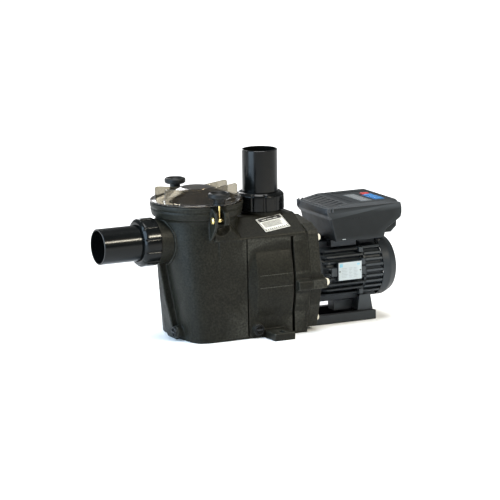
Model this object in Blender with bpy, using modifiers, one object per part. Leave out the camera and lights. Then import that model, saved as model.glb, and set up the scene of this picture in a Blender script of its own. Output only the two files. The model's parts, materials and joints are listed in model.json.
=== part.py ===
"""A self-priming pool pump: a moulded pump body with a strainer pot under a clear lid, threaded unions on
the suction and discharge pipes, and a close-coupled finned motor that carries its variable-speed drive.

Metres, +Z up. The origin is on the ground under the discharge pipe. +X runs from the strainer to the motor,
along the shaft, and -Y is the side with the drain plugs' handles and the nameplate.
"""

from math import atan2, cos, pi, radians, sin, sqrt

import bmesh
import bpy
from mathutils import Matrix, Vector

MM = 0.001

# Driving dimensions
BORE_RADIUS = 31 * MM
SHAFT_Z = 110 * MM
SUCTION_Z = 208.5 * MM
STRAINER_X = -148.5 * MM
BOSS_FACE_X = -250 * MM
BOSS_FACE_Z = 254 * MM
SUCTION_PIPE_LENGTH = 125.5 * MM
DISCHARGE_PIPE_LENGTH = 128 * MM
UNION_NUT_RADIUS = 50.5 * MM
BASE_HALF_WIDTH = 96 * MM
FLANGE_FACE_X = 65 * MM
FRAME_START_X = 127 * MM
FRAME_END_X = 214 * MM
FRAME_BORE = 52 * MM
FIN_RADIUS = 69 * MM
KNOB_X = -147 * MM
KNOB_Y = 105 * MM
PIVOT_Z = 260 * MM
PLATE_HALF_GAP = 24 * MM
DRIVE_HALF_WIDTH = 70 * MM
COVER_SEAM_Z = 250.8 * MM
COVER_TOP_Z = 260 * MM
RAIL_TOP_Z = 20 * MM

FLANGE_BOLTS = [(side * y * MM, z * MM) for y, z in ((80, 197), (104, 105), (70, 25)) for side in (-1, 1)]
SIDES = {"front": -1, "rear": 1}

# colour, roughness, metallic
BLACK_MOULDING = ((0.030, 0.031, 0.027), 0.55, 0.0)
GLOSS_BLACK = ((0.012, 0.013, 0.014), 0.18, 0.0)
SATIN_BLACK = ((0.022, 0.023, 0.024), 0.40, 0.0)
SMOKE_CLEAR = ((0.30, 0.27, 0.23), 0.12, 0.0)
BRASS = ((0.72, 0.56, 0.24), 0.30, 1.0)
CREAM = ((0.80, 0.76, 0.62), 0.45, 0.0)
STEEL = ((0.60, 0.60, 0.61), 0.28, 1.0)
RUBBER = ((0.018, 0.018, 0.018), 0.75, 0.0)
NORYL = ((0.060, 0.062, 0.066), 0.45, 0.0)
BASKET_BROWN = ((0.060, 0.054, 0.046), 0.50, 0.0)
CERAMIC = ((0.86, 0.84, 0.80), 0.25, 0.0)
MOTOR_GREY = ((0.050, 0.055, 0.060), 0.45, 0.3)
DRIVE_GREY = ((0.055, 0.060, 0.065), 0.42, 0.0)
LAMINATION = ((0.35, 0.36, 0.38), 0.40, 1.0)
COPPER = ((0.72, 0.33, 0.14), 0.35, 1.0)
PLATE_SILVER = ((0.74, 0.76, 0.77), 0.35, 0.6)
BOARD_GREEN = ((0.03, 0.16, 0.07), 0.45, 0.0)
DISPLAY_GREY = ((0.62, 0.66, 0.64), 0.15, 0.0)
KEY_RED = ((0.60, 0.05, 0.04), 0.40, 0.0)
KEY_BLUE = ((0.10, 0.28, 0.52), 0.40, 0.0)

AXES = {
    "X": Matrix(((0, 0, 1), (1, 0, 0), (0, 1, 0))),
    "-X": Matrix(((0, 0, -1), (-1, 0, 0), (0, 1, 0))),
    "Y": Matrix(((-1, 0, 0), (0, 0, 1), (0, 1, 0))),
    "-Y": Matrix(((1, 0, 0), (0, 0, -1), (0, 1, 0))),
    "Z": Matrix.Identity(3),
}

for old in list(bpy.data.objects):
    bpy.data.objects.remove(old, do_unlink=True)
PARTS = bpy.data.collections.new("pool_pump")
CUTTERS = bpy.data.collections.new("pool_pump_cutters")
for collection in (PARTS, CUTTERS):
    bpy.context.scene.collection.children.link(collection)


# Building blocks


def placed(obj, at, axis, finish):
    """Puts an object at a place with its local Z along an axis. Without a finish it is a cutter."""
    obj.matrix_world = Matrix.Translation(Vector(at)) @ AXES[axis].to_4x4()
    if finish is None:
        CUTTERS.objects.link(obj)
        obj.hide_render = True
        obj.display_type = "WIRE"
        return obj
    PARTS.objects.link(obj)
    colour, roughness, metallic = finish
    material = bpy.data.materials.new(obj.name)
    material.use_nodes = True
    shader = material.node_tree.nodes["Principled BSDF"]
    shader.inputs["Base Color"].default_value = (*colour, 1)
    shader.inputs["Roughness"].default_value = roughness
    shader.inputs["Metallic"].default_value = metallic
    obj.data.materials.append(material)
    return obj


def turned(name, profile, at, axis, finish=None, steps=24):
    """(radius, height) points in mm turned about an axis. The outer side runs from the top down,
    and a profile that doesn't reach the axis closes on itself."""
    points = [(r * MM, 0, h * MM) for r, h in profile]
    edges = [(i, i + 1) for i in range(len(points) - 1)]
    if profile[0][0] > 0:
        edges.append((len(points) - 1, 0))
    mesh = bpy.data.meshes.new(name)
    mesh.from_pydata(points, edges, [])
    obj = placed(bpy.data.objects.new(name, mesh), at, axis, finish)
    turn = obj.modifiers.new("turn", "SCREW")
    turn.steps = turn.render_steps = steps
    turn.use_merge_vertices = True
    turn.merge_threshold = 1e-5
    return obj


def rod(name, radius, start, end, at, axis, finish=None, steps=16):
    """A plain round bar from one height to another, in mm."""
    return turned(name, [(0, end), (radius, end), (radius, start), (0, start)], at, axis, finish, steps)


def ring_of(name, radius, thickness, at, axis, finish, steps=24, sides=5):
    """An O-ring: radius to the middle of its cord, and the cord's own radius, in mm."""
    turn = [2 * pi * i / sides for i in range(sides)]
    profile = [(radius + thickness * cos(a), -thickness * sin(a)) for a in turn]
    return turned(name, profile, at, axis, finish, steps)


def prism(name, outlines, start, end, at, axis, finish=None):
    """Flat outlines in mm, drawn across an axis, run from one height to another. A later outline is a hole.
    Across X the outline is (y, z), across -Y it is (x, z), and across Z it is (x, y)."""
    curve = bpy.data.curves.new(name, "CURVE")
    curve.dimensions = "2D"
    curve.fill_mode = "BOTH"
    curve.extrude = (end - start) / 2 * MM
    for outline in outlines:
        spline = curve.splines.new("POLY")
        spline.points.add(len(outline) - 1)
        for point, (u, v) in zip(spline.points, outline):
            point.co = (u * MM, v * MM, 0, 1)
        spline.use_cyclic_u = True
    flat = bpy.data.objects.new(name + "_outline", curve)
    bpy.context.scene.collection.objects.link(flat)
    graph = bpy.context.evaluated_depsgraph_get()
    mesh = bpy.data.meshes.new_from_object(flat.evaluated_get(graph))
    bpy.data.objects.remove(flat)
    form = bmesh.new()
    form.from_mesh(mesh)
    bmesh.ops.remove_doubles(form, verts=form.verts, dist=1e-6)
    bmesh.ops.translate(form, verts=form.verts, vec=(0, 0, (start + end) / 2 * MM))
    bmesh.ops.recalc_face_normals(form, faces=form.faces)
    form.to_mesh(mesh)
    form.free()
    mesh.name = name
    return placed(bpy.data.objects.new(name, mesh), at, axis, finish)


def boxes(name, corners, finish=None):
    """One or more boxes in one object, each from its low corner to its high corner in mm."""
    form = bmesh.new()
    for low, high in corners:
        size = [(b - a) * MM for a, b in zip(low, high)]
        middle = [(a + b) / 2 * MM for a, b in zip(low, high)]
        matrix = Matrix.Translation(middle) @ Matrix.Diagonal((*size, 1))
        bmesh.ops.create_cube(form, size=1, matrix=matrix)
    mesh = bpy.data.meshes.new(name)
    form.to_mesh(mesh)
    form.free()
    return placed(bpy.data.objects.new(name, mesh), (0, 0, 0), "Z", finish)


def spokes(name, count, low, high, at, axis):
    """Boxes in mm that stand round an axis, drawn for the one that points along the first direction."""
    form = bmesh.new()
    size = [(b - a) * MM for a, b in zip(low, high)]
    middle = [(a + b) / 2 * MM for a, b in zip(low, high)]
    for i in range(count):
        turn = Matrix.Rotation(2 * pi * i / count, 4, "Z")
        matrix = turn @ Matrix.Translation(middle) @ Matrix.Diagonal((*size, 1))
        bmesh.ops.create_cube(form, size=1, matrix=matrix)
    mesh = bpy.data.meshes.new(name)
    form.to_mesh(mesh)
    form.free()
    return placed(bpy.data.objects.new(name, mesh), at, axis, None)


def wire(name, points, radius, finish, closed=False):
    """A bent wire through points in metres."""
    curve = bpy.data.curves.new(name, "CURVE")
    curve.dimensions = "3D"
    curve.bevel_depth = radius
    curve.bevel_resolution = 2
    curve.use_fill_caps = True
    spline = curve.splines.new("POLY")
    spline.points.add(len(points) - 1)
    for point, place in zip(spline.points, points):
        point.co = (*place, 1)
    spline.use_cyclic_u = closed
    return placed(bpy.data.objects.new(name, curve), (0, 0, 0), "Z", finish)


def combine(obj, operation, others, solver):
    for other in others:
        step = obj.modifiers.new(operation.lower(), "BOOLEAN")
        step.operation = operation
        step.solver = solver
        step.object = other


def join(obj, *others, solver="EXACT"):
    combine(obj, "UNION", others, solver)


def cut(obj, *others, solver="EXACT"):
    combine(obj, "DIFFERENCE", others, solver)


def chamfer(obj, width, angle=40):
    bevel = obj.modifiers.new("chamfer", "BEVEL")
    bevel.width = width * MM
    bevel.segments = 1
    bevel.limit_method = "ANGLE"
    bevel.angle_limit = radians(angle)


def shade(obj, angle=32):
    """Applies the modifiers and shades the round faces smooth."""
    if obj.type != "MESH":
        return
    graph = bpy.context.evaluated_depsgraph_get()
    mesh = bpy.data.meshes.new_from_object(obj.evaluated_get(graph))
    obj.modifiers.clear()
    obj.data = mesh
    mesh.shade_smooth()
    mesh.set_sharp_from_angle(angle=radians(angle))


def mirrored(half):
    """An outline in mm that is given for one side of the upright centre line, top to bottom."""
    return half + [(-u, v) for u, v in reversed(half) if u > 0]


SHAFT = (0, 0, SHAFT_Z)
POT = (STRAINER_X, 0, 0)
ORIGIN = (0, 0, 0)
GLAND = (272.5 * MM, 44 * MM, 186.5 * MM)


# Pump body


def pot_shell():
    """The strainer pot's outside: squarish at the base and round at the neck."""
    stations = [  # height, half length, half width, squareness
        (-6, 52, 95.5, 4.2),
        (90, 65.5, 94, 3.2),
        (170, 76, 91, 2.6),
        (240, 86, 86, 2.0),
        (262, 86, 86, 2.0),
    ]
    around = 32
    form = bmesh.new()
    rings = []
    for height, length, width, power in stations:
        ring = []
        for i in range(around):
            turn = 2 * pi * i / around
            reach = (abs(cos(turn)) ** power + abs(sin(turn)) ** power) ** (-1 / power)
            place = (length * reach * cos(turn) * MM, width * reach * sin(turn) * MM, height * MM)
            ring.append(form.verts.new(place))
        rings.append(ring)
    for low, high in zip(rings, rings[1:]):
        for i in range(around):
            j = (i + 1) % around
            form.faces.new((low[i], low[j], high[j], high[i]))
    form.faces.new(rings[-1])
    form.faces.new(list(reversed(rings[0])))
    mesh = bpy.data.meshes.new("pump_housing")
    form.to_mesh(mesh)
    form.free()
    return placed(bpy.data.objects.new("pump_housing", mesh), POT, "Z", BLACK_MOULDING)


def ear_outline(side):
    """The side view of the ear that carries a lid bolt, as (y, z)."""
    reach = [(80, 284), (100, 284), (113, 276), (117, 262), (114, 246), (104, 230), (90, 216), (80, 214)]
    return [(side * y, z) for y, z in reach]


def bolt_boss_outline(side):
    """The section of the boss on the flange's side, as (y, z), with a sloped roof."""
    return [(side * y, z) for y, z in ((88, 122), (114, 112), (115, 94), (88, 90))]


def keel():
    """The wedge under the suction boss: thin at the top and broad at the foot."""
    side_view = [(-241.5, 175), (-230, 83), (-218, 22), (-206, -12), (-190, -12), (-190, 175)]
    wedge = prism("keel", [side_view], -21, 21, ORIGIN, "-Y")
    for side_name, side in SIDES.items():
        flank = [(side * 3.5, 180), (side * 21, 30), (side * 21, -20), (side * 60, -20), (side * 60, 180)]
        cut(wedge, prism("keel_flank_" + side_name, [flank], -260, -180, ORIGIN, "X"))
    return wedge


def pump_housing():
    body = pot_shell()
    flange = mirrored([(0, 240), (83, 216), (90, 210), (95, 176), (103, 128), (104, 95), (97, 55), (86, 22),
                       (84, 5)])
    casing = mirrored([(0, 243), (45, 243), (91.5, 214), (BASE_HALF_WIDTH / MM, -9)])
    join(
        body,
        prism("casing", [casing], -141, 60, ORIGIN, "X"),
        turned("drum", [(0, 23), (105, 23), (105, -65), (97, -73), (0, -73)], SHAFT, "X", steps=32),
        prism("flange_block", [flange], 24, 67, ORIGIN, "X"),
        turned("ring", [(0, 286), (97.5, 286), (97.5, 274), (93.5, 271), (87, 256), (84, 250), (0, 250)],
               POT, "Z", steps=32),
        turned("suction_boss", [(0, -170), (46, -170), (46, -227), (48, -230), (48, -250), (43, -250),
                                (43, -270), (0, -270)], (0, 0, SUCTION_Z), "X"),
        turned("discharge_boss", [(0, 274), (43, 274), (43, 254), (50, 254), (50, 232), (0, 232)],
               ORIGIN, "Z"),
        keel(),
        boxes("feet", [((-42, -146, -15), (6, 146, 13))]),
        rod("strainer_drain_boss", 13, -218, -185, (0, -33 * MM, 19 * MM), "X"),
        rod("volute_drain_boss", 12.5, 80, 101, (-57 * MM, 0, 19 * MM), "-Y"),
    )
    for side_name, side in SIDES.items():
        join(
            body,
            prism("bolt_boss_" + side_name, [bolt_boss_outline(side)], 32, 69, ORIGIN, "X"),
            prism("near_ear_" + side_name, [ear_outline(side)], -161, -154.5, ORIGIN, "X"),
            prism("far_ear_" + side_name, [ear_outline(side)], -139.5, -133, ORIGIN, "X"),
        )
    cut(
        body,
        boxes("ground", [((-400, -300, -50), (400, 300, 0))]),
        boxes("flange_face", [((FLANGE_FACE_X / MM, -300, -70), (100, 300, 400))]),
        turned("pot_cavity", [(0, 300), (82.7, 300), (82.7, 262), (77.5, 262), (45, 12), (0, 12)],
               POT, "Z", steps=32),
        turned("seal_groove", [(94, 300), (94, 282), (87.5, 282), (87.5, 300)], POT, "Z"),
        rod("suction_bore", BORE_RADIUS / MM, -290, -170, (0, 0, SUCTION_Z), "X", steps=24),
        turned("chamber", [(0, 80), (86, 80), (86, 59), (80, 59), (80, -56), (0, -56)], SHAFT, "X"),
        rod("discharge_bore", BORE_RADIUS / MM, 150, 290, ORIGIN, "Z", steps=24),
        rod("eye_passage", 30, -120, -50, SHAFT, "X", steps=24),
        rod("strainer_drain", 6.3, -230, -170, (0, -33 * MM, 19 * MM), "X"),
        rod("volute_drain", 6.3, 20, 120, (-57 * MM, 0, 19 * MM), "-Y"),
        rod("volute_sump", 5, 17, 70, (-50 * MM, -36 * MM, 0), "Z", steps=12),
        solver="MANIFOLD",
    )
    for side_name, side in SIDES.items():
        y = side * KNOB_Y
        slot = [(-18 + 5 * cos(a), side * 128 + sign * 6 + 5 * sin(a))
                for sign, first in ((1, 0), (-1, pi)) for a in (first + pi * i / 4 for i in range(5))]
        cut(
            body,
            rod("pin_hole_" + side_name, 3.3, -175, -120, (0, y, PIVOT_Z), "X", steps=12),
            prism("foot_slot_" + side_name, [slot], -20, 30, ORIGIN, "Z"),
            solver="MANIFOLD",
        )
    for i, (y, z) in enumerate(FLANGE_BOLTS, 1):
        cut(body, rod(f"insert_hole_{i}", 4.3, 36, 80, (0, y, z), "X", steps=10), solver="MANIFOLD")


def drain_plug(name, at, axis, depth):
    """A screw-in plug with a raised bar to turn it by. Heights run outwards from the boss's face."""
    plug = turned(name, [(0, 4), (10, 4), (11, 3), (11, 0.3), (6, 0.3), (6, -depth), (0, -depth)], at, axis,
                  SATIN_BLACK, steps=16)
    grip = turned(name + "_grip", [(0, 7), (7, 7), (8, 3), (0, 3)], at, axis, steps=6)
    join(plug, grip)


# Unions


def union_nut(name, at, axis):
    """A coupling nut with broad raised lugs between shallow valleys. Heights run out from the boss's face."""
    lugs = 12
    radius = UNION_NUT_RADIUS / MM
    outline = []
    for i in range(lugs):
        for share, depth in ((-0.40, 2.2), (-0.34, 0), (0.34, 0), (0.40, 2.2)):
            turn = 2 * pi * (i + share) / lugs
            outline.append(((radius - depth) * cos(turn), (radius - depth) * sin(turn)))
    nut = prism(name, [outline], 0.3, 38.6, at, axis, GLOSS_BLACK)
    bore = [(0, 50), (38.2, 50), (38.2, 31.3), (43.6, 31.3), (43.6, -5), (0, -5)]
    cut(nut, turned(name + "_bore", bore, at, axis))


def union_set(prefix, at, axis, length):
    """The tailpipe, its nut and its seal on one port."""
    end = length / MM
    turned(
        prefix + "_tailpipe",
        [(36.5, end), (37.5, end - 1), (37.5, 31), (43, 31), (43, 24.3), (31.5, 24.3), (31.5, end - 55),
         (34.3, end - 55), (34.3, end)],
        at, axis, GLOSS_BLACK,
    )
    union_nut(prefix + "_union_nut", at, axis)
    seal_at = Vector(at) + AXES[axis] @ Vector((0, 0, 22.15 * MM))
    ring_of(prefix + "_union_seal", 37, 1.8, seal_at, axis, RUBBER, steps=24)


# Strainer


def strainer_basket():
    """A tapered basket hung by its rim, with slots all round and a round window at the suction port."""
    basket = turned(
        "strainer_basket",
        [(0, 33), (40.5, 33), (71.5, 266), (81.5, 266), (81.5, 262.3), (74, 262.3), (43, 30), (0, 30)],
        POT, "Z", BASKET_BROWN,
    )
    cut(
        basket,
        spokes("basket_slots", 14, (20, -4, 50), (95, 4, 160), POT, "Z"),
        rod("basket_window", 34, -240, -190, (0, 0, SUCTION_Z), "X", steps=24),
    )


def basket_handle():
    """The bail, laid down on the basket's rim, with its ends turned down inside the basket."""
    reach, height = 67 * MM, 268.7 * MM
    arc = [-pi / 2 + pi * i / 16 for i in range(17)]
    points = [(STRAINER_X + reach * cos(a), reach * sin(a), height) for a in arc]
    ends = [(STRAINER_X, side * reach, 252 * MM) for side in (-1, 1)]
    wire("basket_handle", [ends[0], *points, ends[1]], 2 * MM, BASKET_BROWN)


def strainer_lid():
    """A clear dome with a flange, a locating skirt and two upright plates across it."""
    lid = turned(
        "strainer_lid",
        [(0, 316), (32, 315), (87, 292.3), (96.5, 291), (96.5, 287.4), (81.6, 287.4), (81.6, 276), (78, 276),
         (78, 288), (33, 309.5), (0, 311)],
        POT, "Z", SMOKE_CLEAR, steps=32,
    )
    for side_name, side in SIDES.items():
        outline = [(-83.5, 291.2), (-58, 299.5), (-30, 310.5), (0, 313), (30, 310.5), (58, 299.5),
                   (83.5, 291.2), (83.5, 313), (80, 317), (-80, 317), (-83.5, 313)]
        at = (STRAINER_X, side * PLATE_HALF_GAP, 0)
        join(lid, prism("lid_plate_" + side_name, [outline], -1.6, 1.6, at, "-Y"))


def lid_fastening(side_name, side):
    """A swing bolt on its pin, with the hand knob that clamps the lid."""
    y = side * KNOB_Y
    pivot = (KNOB_X, y, PIVOT_Z)
    bolt = rod(side_name + "_swing_bolt", 3.3, 4, 48, pivot, "Z", BRASS, steps=12)
    join(bolt, rod(side_name + "_bolt_eye", 6.5, -6.5, 6.5, pivot, "X", steps=16))
    cut(bolt, rod(side_name + "_eye_hole", 3.35, -10, 10, pivot, "X", steps=12))
    pin = [(0, 17), (3, 17), (3, -14.3), (7, -14.3), (7, -17), (5, -18.5), (0, -18.5)]
    turned(side_name + "_pivot_pin", pin, pivot, "X", BRASS, steps=12)
    turned(
        side_name + "_hand_knob",
        [(0, 315.6), (14, 315.6), (16, 318), (20, 318), (22.5, 315), (22.5, 310), (20, 307), (13.5, 305.5),
         (12.5, 291.9), (3.7, 291.9), (3.7, 309), (0, 309)],
        (KNOB_X, y, 0), "Z", SATIN_BLACK, steps=20,
    )


# Wet end


def diffuser():
    """The cup round the impeller, with a snout in the eye passage and windows to the volute."""
    cup = turned(
        "diffuser",
        [(74, 44), (74, -16), (27.5, -16), (27.5, -72), (23.8, -72), (23.8, -12), (70, -12), (70, 44)],
        SHAFT, "X", NORYL,
    )
    cut(cup, spokes("diffuser_windows", 8, (60, -9, -2), (90, 9, 34), SHAFT, "X"))
    ring_of("diffuser_seal", 28.7, 0.8, (-63 * MM, 0, SHAFT_Z), "X", RUBBER, steps=20)


def impeller():
    """A closed impeller: two shrouds with swept vanes between them, an eye and a hub."""
    wheel = turned("impeller", [(0, 44), (14, 44), (14, 24), (60, 24), (60, 21), (14, 19), (7, 4), (0, 4)],
                   SHAFT, "X", NORYL)
    vanes = 6
    for i in range(vanes):
        start = 2 * pi * i / vanes
        outer, inner = [], []
        for step in range(5):
            share = step / 4
            radius, turn = 20 + 38 * share, start - 1.05 * share
            outer.append((radius * cos(turn), radius * sin(turn)))
            inner.append((radius * cos(turn - 2.6 / radius), radius * sin(turn - 2.6 / radius)))
        join(wheel, prism(f"vane_{i + 1}", [outer + inner[::-1]], -4, 22, SHAFT, "X"))
    front_shroud = [(60, -3), (60, -6), (22, -6), (22, -26), (19, -26), (19, -3)]
    join(wheel, turned("front_shroud", front_shroud, SHAFT, "X"))
    hub_bore = [(0, 60), (8.3, 60), (8.3, 9.7), (3.3, 9.7), (3.3, -10), (0, -10)]
    cut(wheel, turned("hub_bore", hub_bore, SHAFT, "X", steps=16))
    screw = [(0, 27), (3, 27), (3, 3.7), (7, 3.7), (7, 0), (5, -1), (0, -1)]
    turned("impeller_screw", screw, SHAFT, "X", STEEL, steps=12)


def shaft_seal():
    """The mechanical seal: a spring and a carbon head turn with the shaft against a fixed ceramic seat."""
    seat = [(17.4, 68), (17.4, 61.9), (10.2, 61.9), (10.2, 68)]
    head = [(15, 61.6), (17, 58), (17, 54.5), (8.4, 54.5), (8.4, 61.6)]
    turned("seal_seat", seat, SHAFT, "X", CERAMIC, steps=16)
    turned("seal_head", head, SHAFT, "X", RUBBER, steps=16)
    turns, per_turn = 3, 8
    points = []
    for i in range(turns * per_turn + 1):
        turn = 2 * pi * i / per_turn
        place = (45.6 + 7.6 * i / (turns * per_turn)) * MM
        points.append((place, 11.5 * MM * cos(turn), SHAFT_Z + 11.5 * MM * sin(turn)))
    wire("seal_spring", points, 0.9 * MM, STEEL)


def motor_bracket():
    """The seal plate and adapter between the pump body and the motor."""
    bracket = turned(
        "motor_bracket",
        [(0, 104), (69, 104), (71, 102), (71, 88), (85.6, 88), (85.6, 59.5), (79, 59.5), (79, 46), (0, 46)],
        SHAFT, "X", BLACK_MOULDING,
    )
    plate = mirrored([(0, 235), (60, 226), (86, 215), (90, 208), (94.5, 176), (102, 128), (103, 95), (95, 55),
                      (83, 22), (81, 8)])
    join(bracket, prism("bracket_plate", [plate], 65.3, 90, ORIGIN, "X"))
    for side_name, side in SIDES.items():
        join(bracket, prism("bracket_boss_" + side_name, [bolt_boss_outline(side)], 65.3, 98, ORIGIN, "X"))
    cut(
        bracket,
        turned("seal_bore", [(0, 90), (10, 90), (10, 68.3), (17.7, 68.3), (17.7, 61.6), (19.5, 60),
                             (19.5, 40), (0, 40)], SHAFT, "X", steps=16),
        turned("dry_cavity", [(0, 110), (58, 110), (58, 62), (26, 58), (24, 77), (0, 77)], SHAFT, "X"),
        turned("body_seal_groove", [(90, 64.4), (90, 60.7), (82.3, 60.7), (82.3, 64.4)], SHAFT, "X"),
    )
    for i, (y, z) in enumerate(FLANGE_BOLTS, 1):
        cut(bracket, rod(f"bracket_hole_{i}", 4.3, 60, 105, (0, y, z), "X", steps=10))
    ring_of("housing_seal", 84.1, 1.5, (62.55 * MM, 0, SHAFT_Z), "X", RUBBER, steps=24)


def flange_bolts():
    for i, (y, z) in enumerate(FLANGE_BOLTS, 1):
        seat = 98.3 if abs(y) > 100 * MM else 90.3
        bolt = rod(f"flange_bolt_{i}", 4, 38, seat + 2, (0, y, z), "X", CREAM, steps=10)
        head = [(0, seat + 7), (6.5, seat + 7), (7.5, seat + 6), (7.5, seat + 1.6), (9, seat + 1.5),
                (9, seat), (0, seat)]
        join(bolt, turned(f"bolt_head_{i}", head, (0, y, z), "X", steps=6))


# Motor


def finned_outline(root, tip):
    """The motor's cross-section in mm: level fins on its sides, fewer upright ones above and below."""
    pitch, half = 11.8, 1.8
    outline = []
    for quarter in range(4):
        count = 2 if quarter % 2 else 4
        for height in [pitch * i for i in range(-count, count + 1)]:
            for edge, radius in ((-half, root), (-half, tip), (half, tip), (half, root)):
                across = height + edge
                along = sqrt(radius**2 - across**2)
                reach = Vector((along, across))
                reach.rotate(Matrix.Rotation(pi / 2 * quarter, 2))
                outline.append(tuple(reach))
    return outline


def circle(radius, count):
    return [(radius * cos(2 * pi * i / count), radius * sin(2 * pi * i / count)) for i in range(count)]


def motor_shaft():
    shaft = turned(
        "motor_shaft",
        [(0, 280), (6, 280), (6, 258), (8, 257), (8, 241), (10, 240), (10, 226), (11, 225), (11, 126),
         (10, 125), (10, 105), (8, 104), (8, 10), (0, 10)],
        SHAFT, "X", STEEL, steps=16,
    )
    cut(shaft, rod("screw_hole", 3.3, 0, 30, SHAFT, "X", steps=12))


def bearing(name, start, bore, outer):
    """A ball bearing's two races, in mm."""
    end = start + 11
    inner_race = [(bore + 4, end), (bore + 4, start), (bore, start), (bore, end)]
    outer_race = [(outer, end), (outer, start), (outer - 4.5, start), (outer - 4.5, end)]
    turned(name + "_inner_race", inner_race, SHAFT, "X", STEEL, steps=16)
    turned(name + "_outer_race", outer_race, SHAFT, "X", STEEL, steps=16)


def stator():
    slots, inner, outer = 12, 36.6, 51.6
    bore = []
    for i in range(slots):
        middle = 2 * pi * i / slots
        half = atan2(3.0, inner)
        for radius, turn in ((inner, -half), (47, -atan2(3.0, 47)), (47, atan2(3.0, 47)), (inner, half)):
            bore.append((radius * cos(middle + turn), radius * sin(middle + turn)))
        for step in (1, 2, 3):
            turn = middle + half + (2 * pi / slots - 2 * half) * step / 4
            bore.append((inner * cos(turn), inner * sin(turn)))
    prism("stator_core", [circle(outer, 32), bore], 138, 208, SHAFT, "X", LAMINATION)
    winding = turned("stator_winding", [(48, 137.6), (48, 130), (39, 130), (39, 137.6)],
                     SHAFT, "X", COPPER)
    join(
        winding,
        turned("rear_coil_ends", [(48, 217), (48, 208.4), (39, 208.4), (39, 217)], SHAFT, "X"),
        spokes("slot_coils", slots, (40, -2.6, 133), (46.4, 2.6, 214), SHAFT, "X"),
    )


def endshields():
    turned(
        "motor_front_endshield",
        [(66, 126.7), (66, 107), (63, 104.3), (12, 104.3), (12, 105.6), (23.3, 105.6), (23.3, 119), (28, 119),
         (28, 111), (51, 111), (51, 126.7)],
        SHAFT, "X", MOTOR_GREY,
    )
    rear = turned(
        "motor_rear_endshield",
        [(63, 258), (63, 214.3), (51, 214.3), (51, 240), (28, 240), (28, 227), (23.3, 227), (23.3, 239.4),
         (12, 239.4), (12, 246), (58, 246), (58, 258)],
        SHAFT, "X", MOTOR_GREY,
    )
    join(rear, prism("endshield_fins", [finned_outline(59, 66), circle(57.5, 32)], 220, 257, SHAFT, "X"))


def motor_frame():
    """The finned stator housing, with a pad on top for the drive."""
    frame = prism("motor_frame", [finned_outline(57, FIN_RADIUS / MM), circle(FRAME_BORE / MM, 32)],
                  FRAME_START_X / MM, FRAME_END_X / MM, SHAFT, "X", MOTOR_GREY)
    join(frame, boxes("drive_pad", [((145, -42, 164), (205, 42, 178.9))]))


def cooling_fan():
    hub = [(0, 276), (14, 276), (14, 263), (54, 261), (54, 259), (0, 259)]
    fan = turned("cooling_fan", hub, SHAFT, "X", NORYL)
    join(fan, spokes("fan_blades", 7, (12, -1.2, 260), (54, 1.2, 274), SHAFT, "X"))
    cut(fan, rod("fan_bore", 6.3, 250, 290, SHAFT, "X"))


def fan_cover():
    """A bowl over the fan, with slots round its back for the air."""
    cover = turned(
        "fan_cover",
        [(0, 299.5), (44, 299.5), (58, 293.5), (66, 276), (66, 260), (64.2, 260), (64.2, 276), (57, 291.9),
         (44, 297.5), (0, 297.5)],
        SHAFT, "X", MOTOR_GREY,
    )
    cut(cover, spokes("air_slots", 16, (16, -2, 286), (40, 2, 306), SHAFT, "X"))


def motor_supports():
    stand = [(208, 20.3), (245, 20.3), (238, 62), (214, 62)]
    pedestal = prism("motor_pedestal", [stand], -41, 41, ORIGIN, "-Y", MOTOR_GREY)
    join(pedestal, boxes("pedestal_web", [((165, -14, 20.3), (212, 14, 60))]))
    cut(pedestal, rod("cradle", FIN_RADIUS / MM + 0.4, 100, 300, SHAFT, "X", steps=32))
    rails = boxes("motor_base", [((91.5, -50, 0), (248, -36, RAIL_TOP_Z / MM))], SATIN_BLACK)
    join(
        rails,
        boxes("rear_rail", [((91.5, 36, 0), (248, 50, RAIL_TOP_Z / MM))]),
        boxes("front_crossbar", [((91.5, -40, 4), (100, 40, 16))]),
        boxes("cross_plate", [((205, -40, 2), (248, 40, RAIL_TOP_Z / MM))]),
    )
    plate = boxes("motor_nameplate", [((148, -70.4, 96), (203, -69.4, 134))], PLATE_SILVER)
    chamfer(plate, 0.4)


# Drive


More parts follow.
